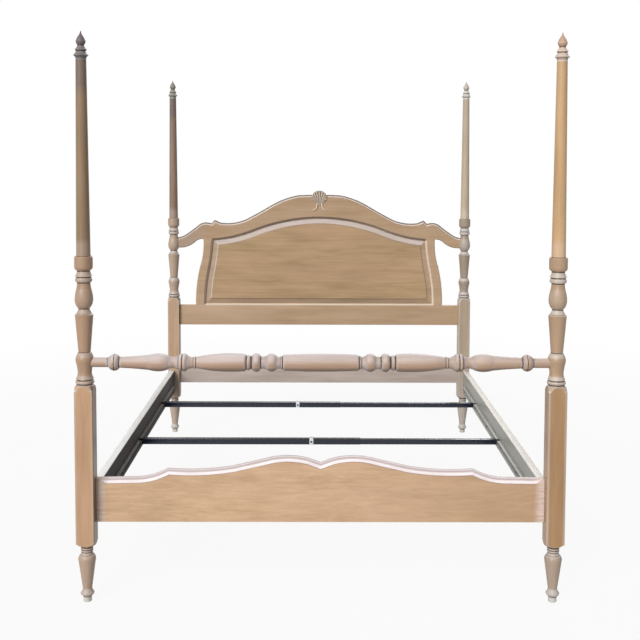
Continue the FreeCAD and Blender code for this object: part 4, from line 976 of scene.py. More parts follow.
def build_blanket_rail():
    """Turned bar between the front posts."""
    low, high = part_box("blanket_rail")
    centre = ((low.y + high.y) / 2, (low.z + high.z) / 2)
    rows = turned_rows(turned_outline(node_points("blanket_rail"), ACROSS, centre))
    shape = turned(rows, ACROSS, centre)
    height = np.clip((shape[0][:, 2] - centre[1]) / BLANKET_REACH, -1, 1)
    wash = over_rings(np.maximum(hollows(rows) * BLANKET_HOLLOW_WASH, crests(rows) * BLANKET_RING_WASH))
    # Painted light on the upper half
    wash = np.maximum(wash, np.maximum(height - BLANKET_TOP_START, 0) * BLANKET_TOP_WASH)
    wash = wash * (1 - BLANKET_LEAN * shape[0][:, 0] / high.x)
    glaze = over_rings(np.maximum(creases(rows), hollows(rows) * BLANKET_HOLLOW_GLAZE))
    # Painted shade underneath
    under = np.clip((-height - BLANKET_UNDER_START) / (1 - BLANKET_UNDER_START), 0, 1)
    glaze = np.maximum(glaze, under * BLANKET_UNDER_GLAZE)
    piece("blanket_rail_turned", shape, "bed_frame", "blanket_wood", ["blanket_rail"], wash=wash, glaze=glaze)


# Headboard and footboard

def eased_rows(radius, count=EDGE_ROWS):
    """Rows of (inset, drop) that round an edge over, from the side to the face."""
    turn = np.linspace(0, math.pi / 2, count)
    return np.stack((radius * (1 - np.cos(turn)), radius * (1 - np.sin(turn))), axis=1)


def cove_rows(lip_depth, lip_drop, cove):
    """Rows of (inset, drop) of the moulded edge: a lip at the back, then a cove out to the face."""
    rise = lip_depth - COVE_FLOOR
    end = lip_drop + cove
    lip = [(LIP_ARRIS * inset, lip_depth + LIP_ARRIS * drop) for inset, drop in LIP_TURN]
    face = [(end + run, COVE_FLOOR * drop) for run, drop in COVE_RUN]
    turn = np.linspace(0, math.pi / 2, EDGE_ROWS - len(lip) - len(face))
    bend = [(lip_drop + cove * math.sin(a), lip_depth - rise * (1 - math.cos(a))) for a in turn]
    return np.array(lip + bend + face)


def edge_values(first, middle, last):
    """Values for the rows of an edge: those of the first rows, one for the middle, those of the last rows."""
    return np.array(first + [middle] * (EDGE_ROWS - len(first) - len(last)) + last)


# Masks across the moulded edges: glaze on the lip; the pale cove is wash and partly painted light, the dark
# line at its foot glaze and partly painted shadow
COVE_WASH = edge_values([0.15, 0.2, 0.2, 0.25, 0.6], 1.0, [0.95, 0.1, 0.0, 0.0])
COVE_GLAZE = edge_values([0.4, 0.9, 0.95, 0.85, 0.25], 0.0, [0.0, 0.75, 0.45, 0.0])
FOOT_WASH = edge_values([0.85, 0.9, 0.9, 0.9, 0.95], 1.0, [0.95, 0.3, 0.0, 0.0])
FOOT_GLAZE = edge_values([0.3, 0.15, 0.1, 0.6, 0.35], 0.0, [0.1, 0.85, 0.6, 0.0])
EASED_WASH = edge_values([0.3], 0.5, [0.35, 0.15, 0.0])
EASED_GLAZE = edge_values([0.85], 0.7, [0.5, 0.3, 0.15, 0.0])


def upright(flat, depth):
    """Points in x and z stood up at a depth, or at one depth each."""
    return np.stack((flat[:, 0], np.broadcast_to(depth, len(flat)), flat[:, 1]), axis=1)


def board(loop, front, back, front_rows):
    """Shape of a board: a back edge eased all round, and front rows of (inset, drop) at each point."""
    into = math.copysign(1, back - front)
    rings = []
    for inset, drop in eased_rows(BACK_EASE, BACK_ROWS)[::-1]:
        rings.append(upright(inset_loop(loop, inset), back - into * drop))
    for row in front_rows:
        widest = row[:, 0].max()
        share = row[:, :1] / widest if widest > 0 else row[:, :1]
        flat = loop + (inset_loop(loop, widest) - loop) * share
        rings.append(upright(flat, front + into * row[:, 1]))
    return tube(rings)


def by_side(loop, top, left, right, bottom):
    """A value at each point of an outline, from one for each way that the edge can face."""
    way, _ = outward_ways(loop)
    return (top * np.maximum(way[:, 1], 0) ** 2 + bottom * np.maximum(-way[:, 1], 0) ** 2
            + right * np.maximum(way[:, 0], 0) ** 2 + left * np.maximum(-way[:, 0], 0) ** 2)


def same_rows(rows, loop):
    """The same edge rows for every point of an outline."""
    return np.repeat(rows[:, None, :], len(loop), axis=1)


def smooth_round(values):
    """Values round a closed outline, evened out with their neighbours."""
    return (np.roll(values, 1) + 2 * values + np.roll(values, -1)) / 4


def ring_masks(front_values, back_values):
    """Mask of a board: none on its back face, one value along its back edge, then the front rows' values."""
    back_edge = np.tile(back_values, BACK_ROWS - 1)
    return np.concatenate((np.zeros(len(back_values)), back_edge, front_values.ravel()))


def build_frame_board(node_name, slot, neighbours, moulded, finish=None):
    """Board of the headboard frame: edges eased, the upper edge moulded, and flush at its joints."""
    low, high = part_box(node_name)
    loop = flat_outline(node_name, low.y)
    if moulded:
        loop = squared_ends(loop, ARM_END, ARM_SEAT)
    loop = closer_loop(loop, BOARD_STEP)
    apart = np.ones(len(loop))
    for other in neighbours:
        gap = gap_to_outline(loop, flat_outline(other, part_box(other)[0].y))
        apart = np.minimum(apart, np.clip((gap - JOINT_REACH) / JOINT_FADE, 0, 1))
    way, _ = outward_ways(loop)
    rise = smooth_round(np.clip((way[:, 1] - MOULD_START) / MOULD_FADE, 0, 1) * apart * moulded)
    shade = by_side(loop, top=0, left=0.1, right=0.8, bottom=1)
    plain = same_rows(eased_rows(FRAME_EASE), loop) * (1 + SHADE_EASE * shade)[None, :, None]
    plain[:, :, 1] *= apart
    cove = same_rows(cove_rows(CREST_LIP_DEPTH, CREST_LIP_DROP, CREST_COVE), loop)
    rows = plain + (cove - plain) * rise[None, :, None]
    eased = apart * (1 - rise)
    # Less wash and painted shade on edges that face down or right
    wash = EASED_WASH[:, None] * eased * (1 - shade * SHADE_WASH) + COVE_WASH[:, None] * rise
    glaze = EASED_GLAZE[:, None] * eased * shade + COVE_GLAZE[:, None] * rise
    if moulded:
        arm = np.clip((ARM_GREY_START - loop[:, 0]) / ARM_GREY_FADE, 0, 1)
        wash = np.maximum(wash, arm * ARM_GREY_WASH)
        glaze = np.maximum(glaze, arm * ARM_GREY_GLAZE)
    shape = board(loop, low.y, high.y, rows)
    piece(node_name + "_shaped", shape, "bed_frame", slot, [node_name], finish=finish,
          wash=ring_masks(wash, rise * CREST_BACK_WASH), glaze=ring_masks(glaze, rise * CREST_BACK_GLAZE))


def free_shape(work):
    """Points and faces of a finished work mesh, which is then freed."""
    work.verts.index_update()
    points = np.array([vert.co for vert in work.verts])
    faces = [[vert.index for vert in face.verts] for face in work.faces]
    work.free()
    return points, faces


def eased_block(low, high, ease):
    """Straight timber with eased edges."""
    work = bmesh.new()
    made = bmesh.ops.create_cube(work, size=1.0)
    bmesh.ops.scale(work, vec=high - low, verts=made["verts"])
    bmesh.ops.translate(work, vec=(high + low) / 2, verts=made["verts"])
    bmesh.ops.bevel(work, geom=work.edges[:], offset=ease, segments=4, profile=0.5, affect="EDGES")
    return free_shape(work)


def edge_wash(points, low, high, reach, amount):
    """Wash along the long edges of a block: where two sides meet."""
    near = np.minimum(points - np.array(low), np.array(high) - points)
    second_nearest = np.sort(near, axis=1)[:, 1]
    return np.clip(1 - second_nearest / reach, 0, 1) * amount


def build_rails():
    """Bottom rail and lower rail of the headboard, straight between the rear posts."""
    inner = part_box("post_rear_right")[0].x + POST_SEAT
    for node_name, slot in (
            ("headboard_bottom_rail", "headboard_wood"),
            ("headboard_lower_rail", "lower_rail_wood")):
        low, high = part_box(node_name)
        low.x, high.x = -inner, inner
        shape = eased_block(low, high, BACK_EASE)
        piece(node_name + "_eased", shape, "bed_frame", slot, [node_name],
              wash=edge_wash(shape[0], low, high, BACK_EASE, RAIL_EDGE_WASH))


def stepped_rings(loop, rows):
    """Rings inside an outline, one for each row of (inset, depth)."""
    return [upright(inset_loop(loop, inset), depth) for inset, depth in rows]


def build_panel():
    """Raised panel: a flat field, a step, and a hollowed bevel that runs under the bead."""
    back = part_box("headboard_panel")[1].y
    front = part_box("headboard_stile_left")[0].y
    loop = closer_loop(flat_outline("headboard_panel", back), BOARD_STEP)
    field = front + PANEL_FIELD_BACK
    base = front + PANEL_BASE_BACK
    foot = field + PANEL_STEP_DEPTH
    step_end = PANEL_BEVEL_END + PANEL_STEP_WIDTH
    rows = [(0, back), (0, base), (PANEL_BORDER, base)]
    for share in np.linspace(0, 1, PANEL_BEVEL_ROWS + 1)[1:]:
        rise = (1 - PANEL_BEVEL_HOLLOW) * share + PANEL_BEVEL_HOLLOW * share * share
        rows.append((PANEL_BORDER + (PANEL_BEVEL_END - PANEL_BORDER) * share, base + (foot - base) * rise))
    along, up = PANEL_STEP_MIDDLE
    rows += [(PANEL_BEVEL_END + PANEL_STEP_WIDTH * along, foot - PANEL_STEP_DEPTH * up),
             (step_end - PANEL_STEP_EASE, field + PANEL_STEP_TURN), (step_end, field),
             (step_end + PANEL_RUN, field)]
    slope = [0, 0] + [1] * (PANEL_BEVEL_ROWS + 1) + [0] * 4
    step = [0] * (PANEL_BEVEL_ROWS + 3) + [1, 1, 0.5, 0]
    # Painted light on the bevel and the step where they face up or left, painted shade where they face down
    # or right, over the wash and glaze
    wash = (np.outer(slope, by_side(loop, top=0.85, left=0.22, right=0.12, bottom=0.12))
            + np.outer(step, by_side(loop, top=0.15, left=1.0, right=0.05, bottom=0.10)))
    glaze = (np.outer(slope, by_side(loop, top=0.0, left=0.16, right=0.0, bottom=0.22))
             + np.outer(step, by_side(loop, top=0.4, left=0.0, right=0.4, bottom=0.5)))
    piece("headboard_panel_raised", tube(stepped_rings(loop, rows)), "bed_frame", "panel_wood",
          ["headboard_panel"], wash=wash.ravel(), glaze=glaze.ravel())


def build_bead():
    """Bead between the frame and the panel, sloped towards the field."""
    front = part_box("headboard_stile_left")[0].y
    base = front + PANEL_BASE_BACK + BEAD_SEAT
    outline = flat_outline("headboard_panel_moulding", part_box("headboard_panel_moulding")[1].y)
    loop = closer_loop(outline, BOARD_STEP)
    loop = loop + outward_ways(loop)[0] * BEAD_GROW
    top = front + BEAD_TOP
    drop = PANEL_BASE_BACK - BEAD_END
    rows = [(0, base), (0, front + BEAD_SIDE), (BEAD_LIP, top)]
    for turn in np.linspace(BEAD_TURN, math.pi / 2, BEAD_ROWS):
        inset = BEAD_LIP + (BEAD_WIDTH - BEAD_TAIL) * math.sin(turn)
        rows.append((inset, top + drop * (1 - math.cos(turn))))
    rows += [(BEAD_WIDTH - BEAD_TOE, base - BEAD_TOE_HEIGHT), (BEAD_WIDTH, base)]
    half = BEAD_ROWS // 2
    # Painted light where the bead faces down or right, a line of painted shadow where it faces up or left
    pale = [0, 0.9, 1.0] + [0.9] * BEAD_ROWS + [0.4, 0.3]
    dark = [0, 0.95, 1.0] + [0.9] * half + [0.3] * half + [0.3, 0.5]
    wash = np.outer(pale, by_side(loop, top=0.1, left=0.3, right=1.0, bottom=0.95))
    glaze = np.outer(dark, by_side(loop, top=0.75, left=0.55, right=0, bottom=0))
    piece("headboard_bead", tube(stepped_rings(loop, rows), "ring"), "bed_frame", "bead_wood",
          ["headboard_panel_moulding"], wash=wash.ravel(), glaze=glaze.ravel())


def curve_point(ends, share):
    """Point on a curve drawn by four points."""
    a, b, c, d = (np.array(end, float) for end in ends)
    rest = 1 - share
    return rest ** 3 * a + 3 * rest ** 2 * share * b + 3 * rest * share ** 2 * c + share ** 3 * d


SHELL_RIBS = 9
# Columns across a rib, and rows from the root to the rim
SHELL_RIB_COLUMNS = 16
SHELL_ROWS = 36
SHELL_SPREAD = math.radians(104)
SHELL_MARGIN = 0.4 * MM
SHELL_ROOT_DROP = 38 * MM
SHELL_ROOT_HALF = 18 * MM
SHELL_SIDE_LIFT = 16 * MM
# Points that bend a rib, as shares of its root, its lift and its way across
SHELL_BEND_OUT = 1.15
SHELL_BEND_UP = 0.6
SHELL_BEND_ACROSS = 0.4
# Notches between the lobes of the rim, and the height of the wood: its base, its dome and its ribs
SHELL_LOBE = 4.5 * MM
SHELL_LOBE_CURVE = 0.6
SHELL_BASE = 1.2 * MM
SHELL_DOME = 3.2 * MM
SHELL_DOME_START = 0.12
SHELL_DOME_RUN = 0.74
SHELL_DOME_FALL = 0.35
SHELL_RIB = 3.0 * MM
SHELL_RIB_CURVE = 0.7
SHELL_RIB_START = 0.35
SHELL_RIB_RISE = 1.3
# How steeply the rim thins out, and the least that is left of it
SHELL_RIM_SLOPE = 7
SHELL_THINNEST = 0.02
# Wash on the ribs and glaze in the grooves; painted shadow near the rim and on the walls of the fan
SHELL_WASH = 0.6
SHELL_WASH_FALL = 0.4
SHELL_GLAZE = 0.9
SHELL_GROOVE_CURVE = 1.5
SHELL_RIM_START = 0.8
SHELL_RIM_GLAZE = 1.2
SHELL_WALL_GLAZE = 0.4
SHELL_SHARP = math.radians(60)
TAIL_STEPS = 30
TAIL_COLUMNS = 12
TAIL_HALF = 5.2 * MM
TAIL_HEIGHT = 6 * MM
TAIL_SEAT = 0.2 * MM
TAIL_MARGIN = 0.5 * MM
# Points that draw a tail: sideways, and up from the root for the first two, from the floor for the others
TAIL_START = (15 * MM, 16 * MM)
TAIL_FALL = (11 * MM, -8 * MM)
TAIL_TURN = (17 * MM, -1 * MM)
TAIL_RISE = 1.5 * MM
TAIL_TIP = 5 * MM
TAIL_PROBE = 0.01
# A tail is widest and highest near its middle, and rounded over its last tenth
TAIL_SWELL = 0.55
TAIL_SWELL_START = 0.1
TAIL_SWELL_RUN = 0.8
TAIL_ROUND_START = 0.9
TAIL_ROUND = 0.0101
TAIL_THINNEST = 0.03
TAIL_LEAST_HEIGHT = 0.75
TAIL_END_HEIGHT = 0.2
TAIL_CROWN = 1.5
# A tail's crown is paler, as painted highlight, and its sides darker, as painted shade
TAIL_WASH = 0.8
TAIL_GLAZE = 0.7
# Masks on the two end points of a tail
TAIL_END_WASH = (0, 0.5)
TAIL_END_GLAZE = (0.5, 0.3)


def closed_behind(grid, back):
    """Points and faces of a grid of points with walls from its border to a flat back; the border's length."""
    rows, columns = grid.shape[:2]
    index = np.arange(rows * columns).reshape(rows, columns)
    sides = np.stack((index[:-1, :-1], index[:-1, 1:], index[1:, 1:], index[1:, :-1]), axis=-1)
    border = np.concatenate((index[0], index[1:, -1], index[-1, -2::-1], index[-2:0:-1, 0]))
    points = grid.reshape(-1, 3)
    wall = points[border].copy()
    wall[:, 1] = back
    foot = np.arange(len(points), len(points) + len(border))
    walls = np.stack((border, np.roll(border, -1), np.roll(foot, -1), foot), axis=-1)
    faces = sides.reshape(-1, 4).tolist() + walls.tolist() + [foot[::-1].tolist()]
    return (np.vstack((points, wall)), faces), len(border)


def shell_fan(reach, centre, root, back):
    """Ribs that rise from a narrow root and curl outwards: shape, wash, and glaze with painted shadow on the
    rim and walls.
    """
    columns = SHELL_RIBS * SHELL_RIB_COLUMNS + 1
    grid = np.zeros((SHELL_ROWS + 1, columns, 3))
    wash = np.zeros((SHELL_ROWS + 1, columns))
    glaze = np.zeros((SHELL_ROWS + 1, columns))
    for column in range(columns):
        share = 2 * column / (columns - 1) - 1
        angle = share * SHELL_SPREAD
        rib = abs(math.sin(math.pi * (column / SHELL_RIB_COLUMNS % 1)))
        rim = reach - SHELL_LOBE * (1 - rib ** SHELL_LOBE_CURVE)
        end_x, end_z = rim * math.sin(angle), centre + rim * math.cos(angle)
        start_x = SHELL_ROOT_HALF * share
        lift = (end_z - root) * 0.5 + SHELL_SIDE_LIFT * abs(share)
        bends = ((start_x, root), (start_x * SHELL_BEND_OUT, root + lift * SHELL_BEND_UP),
                 (start_x + (end_x - start_x) * SHELL_BEND_ACROSS, root + lift), (end_x, end_z))
        for row in range(SHELL_ROWS + 1):
            out = row / SHELL_ROWS
            x, z = curve_point(bends, out)
            edge = min(1, (1 - out) * SHELL_RIM_SLOPE, (1 - abs(share)) * SHELL_RIBS * 2)
            dome = math.sin(math.pi * (SHELL_DOME_START + SHELL_DOME_RUN * out))
            dome *= 1 - SHELL_DOME_FALL * share ** 2
            ridge = rib ** SHELL_RIB_CURVE * min(1, SHELL_RIB_START + out * SHELL_RIB_RISE)
            height = SHELL_BASE + SHELL_DOME * dome + SHELL_RIB * ridge
            grid[row, column] = (x, back - height * math.sqrt(max(edge, SHELL_THINNEST)), z)
            wash[row, column] = SHELL_WASH * rib * (1 - SHELL_WASH_FALL * out)
            # Painted shadow grows towards the rim
            in_rim = max(0, out - SHELL_RIM_START)
            groove = (1 - rib) ** SHELL_GROOVE_CURVE
            glaze[row, column] = SHELL_GLAZE * groove + SHELL_RIM_GLAZE * in_rim
    shape, walls = closed_behind(grid, back)
    return (shape, np.concatenate((wash.ravel(), np.zeros(walls))),
            np.concatenate((glaze.ravel(), np.full(walls, SHELL_WALL_GLAZE))))


def shell_tail(way, tip, floor, root, back):
    """Scroll that runs down from the root and out to one side: shape, painted highlight and painted shade."""
    bends = ((way * TAIL_START[0], root + TAIL_START[1]), (way * TAIL_FALL[0], root + TAIL_FALL[1]),
             (way * TAIL_TURN[0], floor + TAIL_TURN[1]), (way * tip, floor + TAIL_RISE))
    turn = np.linspace(0, math.pi, TAIL_COLUMNS)
    rings = []
    for step in range(TAIL_STEPS + 1):
        share = step / TAIL_STEPS
        run = curve_point(bends, min(1, share + TAIL_PROBE)) - curve_point(bends, max(0, share - TAIL_PROBE))
        run /= np.linalg.norm(run)
        side = np.array((-run[1], run[0]))
        swell = math.sin(math.pi * min(1, share * TAIL_SWELL_RUN + TAIL_SWELL_START))
        width = TAIL_HALF * (TAIL_SWELL + TAIL_SWELL * swell)
        width *= math.sqrt(max(TAIL_THINNEST, 1 - max(0, share - TAIL_ROUND_START) ** 2 / TAIL_ROUND))
        height = TAIL_HEIGHT * (TAIL_LEAST_HEIGHT + (1 - TAIL_LEAST_HEIGHT) * math.sin(math.pi * share))
        height *= min(1, width / TAIL_HALF + TAIL_END_HEIGHT)
        front = back - height * np.sin(turn)
        front[[0, -1]] = back + TAIL_SEAT
        rings.append(upright(curve_point(bends, share) + side * (width * np.cos(turn))[:, None], front))
    # Paler crown as painted highlight, darker sides as painted shade
    crown = np.tile(np.sin(turn), TAIL_STEPS + 1)
    wash = np.concatenate((np.maximum(crown, 0) ** TAIL_CROWN * TAIL_WASH, TAIL_END_WASH))
    glaze = np.concatenate(((1 - crown) * TAIL_GLAZE, TAIL_END_GLAZE))
    return tube(rings, "points"), wash, glaze


def build_shell():
    """Fan of ribs on two scrolled tails."""
    low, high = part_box("headboard_shell_carving")
    reach = (high.x - low.x) / 2 - SHELL_MARGIN
    centre = high.z - reach
    root = centre - SHELL_ROOT_DROP
    floor = low.z + TAIL_HALF + TAIL_MARGIN
    parts = [shell_fan(reach, centre, root, high.y)]
    parts += [shell_tail(way, reach - TAIL_TIP, floor, root, high.y) for way in (-1, 1)]
    shapes, washes, glazes = zip(*parts)
    piece("headboard_shell_carved", together(shapes), "bed_frame", "shell_wood", ["headboard_shell_carving"],
          sharp=SHELL_SHARP, wash=np.concatenate(washes), glaze=np.concatenate(glazes))


def build_footboard():
    """Shaped low board with its upper edge moulded; the moulding scoops out short of each post."""
    low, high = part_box("footboard_panel")
    loop = closer_loop(flat_outline("footboard_panel", high.y), BOARD_STEP / 2)
    way, _ = outward_ways(loop)
    from_post = loop[:, 0].max() - np.abs(loop[:, 0])
    upper = (way[:, 1] > FOOT_UP) & (loop[:, 1] > low.z + FOOT_UPPER)
    run = np.clip((from_post - FOOT_STOP) / FOOT_SCOOP, 0, 1)
    cut = upper * np.sqrt(np.maximum(1 - (1 - run) ** 2, 0))
    plain = same_rows(eased_rows(FOOT_EASE), loop)
    cove = same_rows(cove_rows(FOOT_LIP_DEPTH, FOOT_LIP_DROP, FOOT_COVE), loop)
    rows = plain + (cove - plain) * cut[None, :, None]
    wash = EASED_WASH[:, None] * FOOT_EDGE_WASH * (1 - cut) + FOOT_WASH[:, None] * cut
    glaze = FOOT_GLAZE[:, None] * cut
    shape = board(loop, low.y, high.y, rows)
    piece("footboard_shaped", shape, "bed_frame", "footboard_wood", ["footboard_panel"],
          wash=ring_masks(wash, upper * FOOT_BACK_WASH), glaze=ring_masks(glaze, upper * FOOT_BACK_GLAZE))


# Side rails and cross bars

RAIL_EASE = 3 * MM
LEDGER_EASE = 1.5 * MM
# Painted light on the tops of the rails and ledgers
RAIL_TOP_WASH = {"left": 1.0, "right": 0.95}
LEDGER_TOP_WASH = {"left": 0.3, "right": 0.95}
# The top's painted light fades, and its glaze grows, the further it lies from the inner face
RAIL_TOP_GLAZE = {"left": 0.0, "right": 0.4}
RAIL_TOP_FALL = 1.2
# The inner face is raw wood with painted shade, darkest on the left rail, and fades out over its eased edges
RAW_GLAZE = 0.96
RAW_START = 1.1
RAW_TOP = 0.5
# The top begins this share of the easing below the highest point
RAIL_TOP_START = 0.7


def build_side_rail(side):
    """Side rail and its ledger: grey raw wood with painted shade inside the bed, painted light on top."""
    for kind, slot, ease, top_wash in (
            ("side_rail_", "side_rail_wood", RAIL_EASE, RAIL_TOP_WASH[side]),
            ("rail_ledger_", "ledger_wood", LEDGER_EASE, LEDGER_TOP_WASH[side])):
        node_name = kind + side
        low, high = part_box(node_name)
        shape = eased_block(low, high, ease)
        across, height = shape[0][:, 0], shape[0][:, 2]
        off_inner = np.abs(across - (high.x if side == "left" else low.x))
        raw = np.clip(RAW_START - off_inner / ease, 0, 1) * (height < high.z - ease * RAW_TOP) * RAW_GLAZE
        outer_glaze = RAIL_TOP_GLAZE[side] * off_inner / (high.x - low.x)
        upper = high.z - height < ease * RAIL_TOP_START
        top = upper * top_wash * (1 - RAIL_TOP_FALL * outer_glaze)
        piece(node_name + "_eased", shape, "rail_" + side, slot, [node_name], finish=f"{slot}_{side}",
              wash=top, glaze=np.maximum(raw, (top > 0) * outer_glaze))


BAR_WALL = 2.5 * MM
BAR_EDGE = 0.48 * MM
BAR_INSIDE = 1.2 * MM
BAR_BEND = 1.92 * MM
BAR_TURN_POINTS = 5
BAR_TUCK = 0.25 * MM


def angle_section(low, high):
    """Outline, in y and z, of an angle bar: a flange on top and one down its front, edges eased."""
    inner_y, inner_z = low.y + BAR_WALL, high.z - BAR_WALL
    corners = np.array([(low.y, low.z), (inner_y, low.z), (inner_y, inner_z), (high.y, inner_z),
                        (high.y, high.z), (low.y, high.z)])
    radii = [BAR_EDGE, BAR_EDGE, BAR_INSIDE, BAR_EDGE, BAR_EDGE, BAR_BEND]
    outline = []
    for corner, before, after, radius in zip(
            corners, np.roll(corners, 1, axis=0), np.roll(corners, -1, axis=0), radii):
        back = (before - corner) / np.linalg.norm(before - corner)
        ahead = (after - corner) / np.linalg.norm(after - corner)
        middle = corner + (back + ahead) * radius
        for turn in np.linspace(0, math.pi / 2, BAR_TURN_POINTS):
            outline.append(middle - (ahead * math.cos(turn) + back * math.sin(turn)) * radius)
    return np.array(outline)


def angle_bar(low, high):
    """Angle bar across the bed with its ends eased."""
    section = angle_section(low, high)
    middle = section.mean(axis=0)
    rings = []
    for x, inset in (
            (low.x, BAR_TUCK), (low.x + BAR_TUCK, 0), (high.x - BAR_TUCK, 0), (high.x, BAR_TUCK)):
        flat = section + (middle - section) * (inset / (high.z - low.z))
        rings.append(np.stack((np.full(len(flat), x), flat[:, 0], flat[:, 1]), axis=1))
    return tube(rings)


def build_cross_bars():
    """Telescopic angle bars, the outer ones fast to the left rail."""
    for place in BAR_PLACES:
        for kind, body in (("outer", "rail_left"), ("inner", "inner_bar_" + place)):
            node_name = f"cross_bar_{kind}_{place}"
            shape = angle_bar(*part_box(node_name))
            piece(node_name + "_angle", shape, body, "bar_steel", [node_name])


# Plates, clips, screws, rivets and pins

PLATE_EASE = 0.5 * MM
PLATE_FLAT = math.radians(1)
# Screw and rivet heads, as shares of the head's depth and radius
HEAD_ROWS = 8
HEAD_RIM = 0.9
HEAD_DOME = 0.7
HEAD_UNDER = 0.97
DOME_START = 0.1
RECESS_START = 0.5
RECESS = ((0.5, 0.2), (0.14, 0.48))
STAR_WAIST = 0.5
PIN_TAPER = 1.2 * MM
PIN_GROOVE = 1.0 * MM
PIN_GROOVE_PLACES = (0.62, 0.74)
SLOTS = {part["node"]: part["material_slot"] for part in frame["record"]["subparts"]}


def work_copy(node_name):
    """The node's mesh to work on, with the points that its faces share joined."""
    work = bmesh.new()
    work.from_mesh(frame["nodes"][node_name].data)
    bmesh.ops.remove_doubles(work, verts=work.verts, dist=SAME_POINT)
    return work


def islands(node_name):
    """The points of each separate solid of a node."""
    work = work_copy(node_name)
    waiting = set(work.verts)
    found = []
    for vert in work.verts:
        if vert not in waiting:
            continue
        waiting.discard(vert)
        group = [vert]
        for member in group:
            for edge in member.link_edges:
                other = edge.other_vert(member)
                if other in waiting:
                    waiting.discard(other)
                    group.append(other)
        found.append(np.array([member.co for member in group]))
    work.free()
    return found


def eased_copy(node_name, ease):
    """The node's own shape with its sharp edges rounded."""
    work = work_copy(node_name)
    bmesh.ops.dissolve_limit(work, angle_limit=PLATE_FLAT, verts=work.verts, edges=work.edges)
    sharp = [edge for edge in work.edges if edge.is_manifold and edge.calc_face_angle() > SHARP_ANGLE]
    bmesh.ops.bevel(
        work, geom=sharp, offset=ease, segments=2, profile=0.5, affect="EDGES", clamp_overlap=True)
    bmesh.ops.triangulate(work, faces=[face for face in work.faces if len(face.verts) > 4])
    return free_shape(work)


def headed_pin(points, axis, way, recess):
    """Domed head on a plain shank, from the points of a CAD screw or rivet; a recess is a four-point star."""
    first, second = other_axes(axis)
    centre = (points.min(axis=0) + points.max(axis=0))[[first, second]] / 2
    outline = turned_outline(points, axis, centre)[::way]
    reach = outline[:, 1].max()
    head = outline[outline[:, 1] > HEAD_RIM * reach, 0]
    under, top = head[0], head[-1]
    tail, shank = outline[0]
    deep = top - under
    rows = [(top - deep * sunk, reach * wide, True) for sunk, wide in RECESS] if recess else []
    for share in np.sin(np.linspace(RECESS_START if recess else DOME_START, math.pi / 2, HEAD_ROWS)):
        fall = 1 - math.sqrt(max(0, 1 - share * share))
        rows.append((top - deep * HEAD_DOME * fall, reach * share, False))
    rows += [(under, reach * HEAD_UNDER, False), (under, shank, False), (tail, shank, False)]
    angles = np.arange(PIN_COLUMNS) * 2 * math.pi / PIN_COLUMNS
    star = STAR_WAIST + (1 - STAR_WAIST) * np.cos(2 * angles) ** 2
    rings = np.zeros((len(rows), PIN_COLUMNS, 3))
    for ring, (place, radius, starred) in zip(rings, rows):
        wide = radius * star if starred else radius
        ring[:, axis] = place
        ring[:, first] = centre[0] + wide * np.cos(angles)
        ring[:, second] = centre[1] + wide * np.sin(angles)
    return tube(rings, "points")


def build_fittings():
    """Tabs, clips and plates with eased edges; screws and rivets with domed heads."""
    eased = [("cross_bar_tabs_left", "rail_left"), ("cross_bar_clips", "rail_left"),
             ("catch_plates", "bed_frame")]
    eased += [("hook_plates_" + side, "rail_" + side) for side in SIDES]
    eased += [("cross_bar_tab_right_" + place, "inner_bar_" + place) for place in BAR_PLACES]
    for node_name, body in eased:
        piece(node_name + "_eased", eased_copy(node_name, PLATE_EASE), body, SLOTS[node_name], [node_name])
    headed = [("cross_bar_rivets_left", "rail_left", UP, 1, False)]
    for place in BAR_PLACES:
        headed.append(("cross_bar_rivets_right_" + place, "inner_bar_" + place, UP, 1, False))
    headed += [("cross_bar_clip_screws", "rail_left", ALONG, -1, True),
               ("ledger_screws_left", "rail_left", ACROSS, 1, True),
               ("ledger_screws_right", "rail_right", ACROSS, -1, True)]
    for node_name, body, axis, way, recess in headed:
        shapes = [headed_pin(points, axis, way, recess) for points in islands(node_name)]
        piece(node_name + "_headed", together(shapes), body, SLOTS[node_name], [node_name])


def grooved_pin(points):
    """Plain steel pin with tapered ends and two shallow grooves."""
    low, high = points.min(axis=0), points.max(axis=0)
    reach = (high[0] - low[0]) / 2
    half = PIN_GROOVE / 2
    rows = [(low[2], reach - PIN_TAPER), (low[2] + PIN_TAPER, reach)]
    for share in PIN_GROOVE_PLACES:
        groove = low[2] + (high[2] - low[2]) * share
        rows += [(groove - PIN_GROOVE, reach), (groove - half, reach - half),
                 (groove + half, reach - half), (groove + PIN_GROOVE, reach)]
    rows += [(high[2] - PIN_TAPER, reach), (high[2], reach - PIN_TAPER)]
    return turned(np.array(rows), UP, ((low + high) / 2)[:2], PIN_COLUMNS)


def build_pins():
    """Studs that carry the poles, and the pins of the finials."""
    shapes = [grooved_pin(near_corner(node_points("pole_studs"), corner)) for corner in CORNERS]
    piece("pole_studs_turned", together(shapes), "bed_frame", "fitting_steel", ["pole_studs"])
    for corner in CORNERS:
        node_name = "finial_pin_" + corner
        shape = grooved_pin(node_points(node_name))
        piece(node_name + "_turned", shape, "finial_" + corner, "fitting_steel", [node_name])


def dress_nodes():
    """Finish for the CAD nodes that stay as they are, by their slots in the record."""
    for name, thing in frame["nodes"].items():
        if thing.hide_render:
            continue
        finish = FINISHES[SLOTS[name]]
        for holder in thing.material_slots:
            holder.material = finish


for corner in CORNERS:
    build_post(corner)
    build_pole(corner)
    build_finial(corner)
build_glides()
build_blanket_rail()
STILES = ["headboard_stile_left", "headboard_stile_right"]
build_frame_board("headboard_crest_rail", "headboard_wood", STILES, True, finish="crest_wood")
for stile in STILES:
    build_frame_board(stile, "headboard_wood", ["headboard_crest_rail", "headboard_bottom_rail"], False)
build_rails()
build_panel()
build_bead()
build_shell()
build_footboard()
for side in SIDES:
    build_side_rail(side)
build_cross_bars()
build_fittings()
build_pins()
dress_nodes()


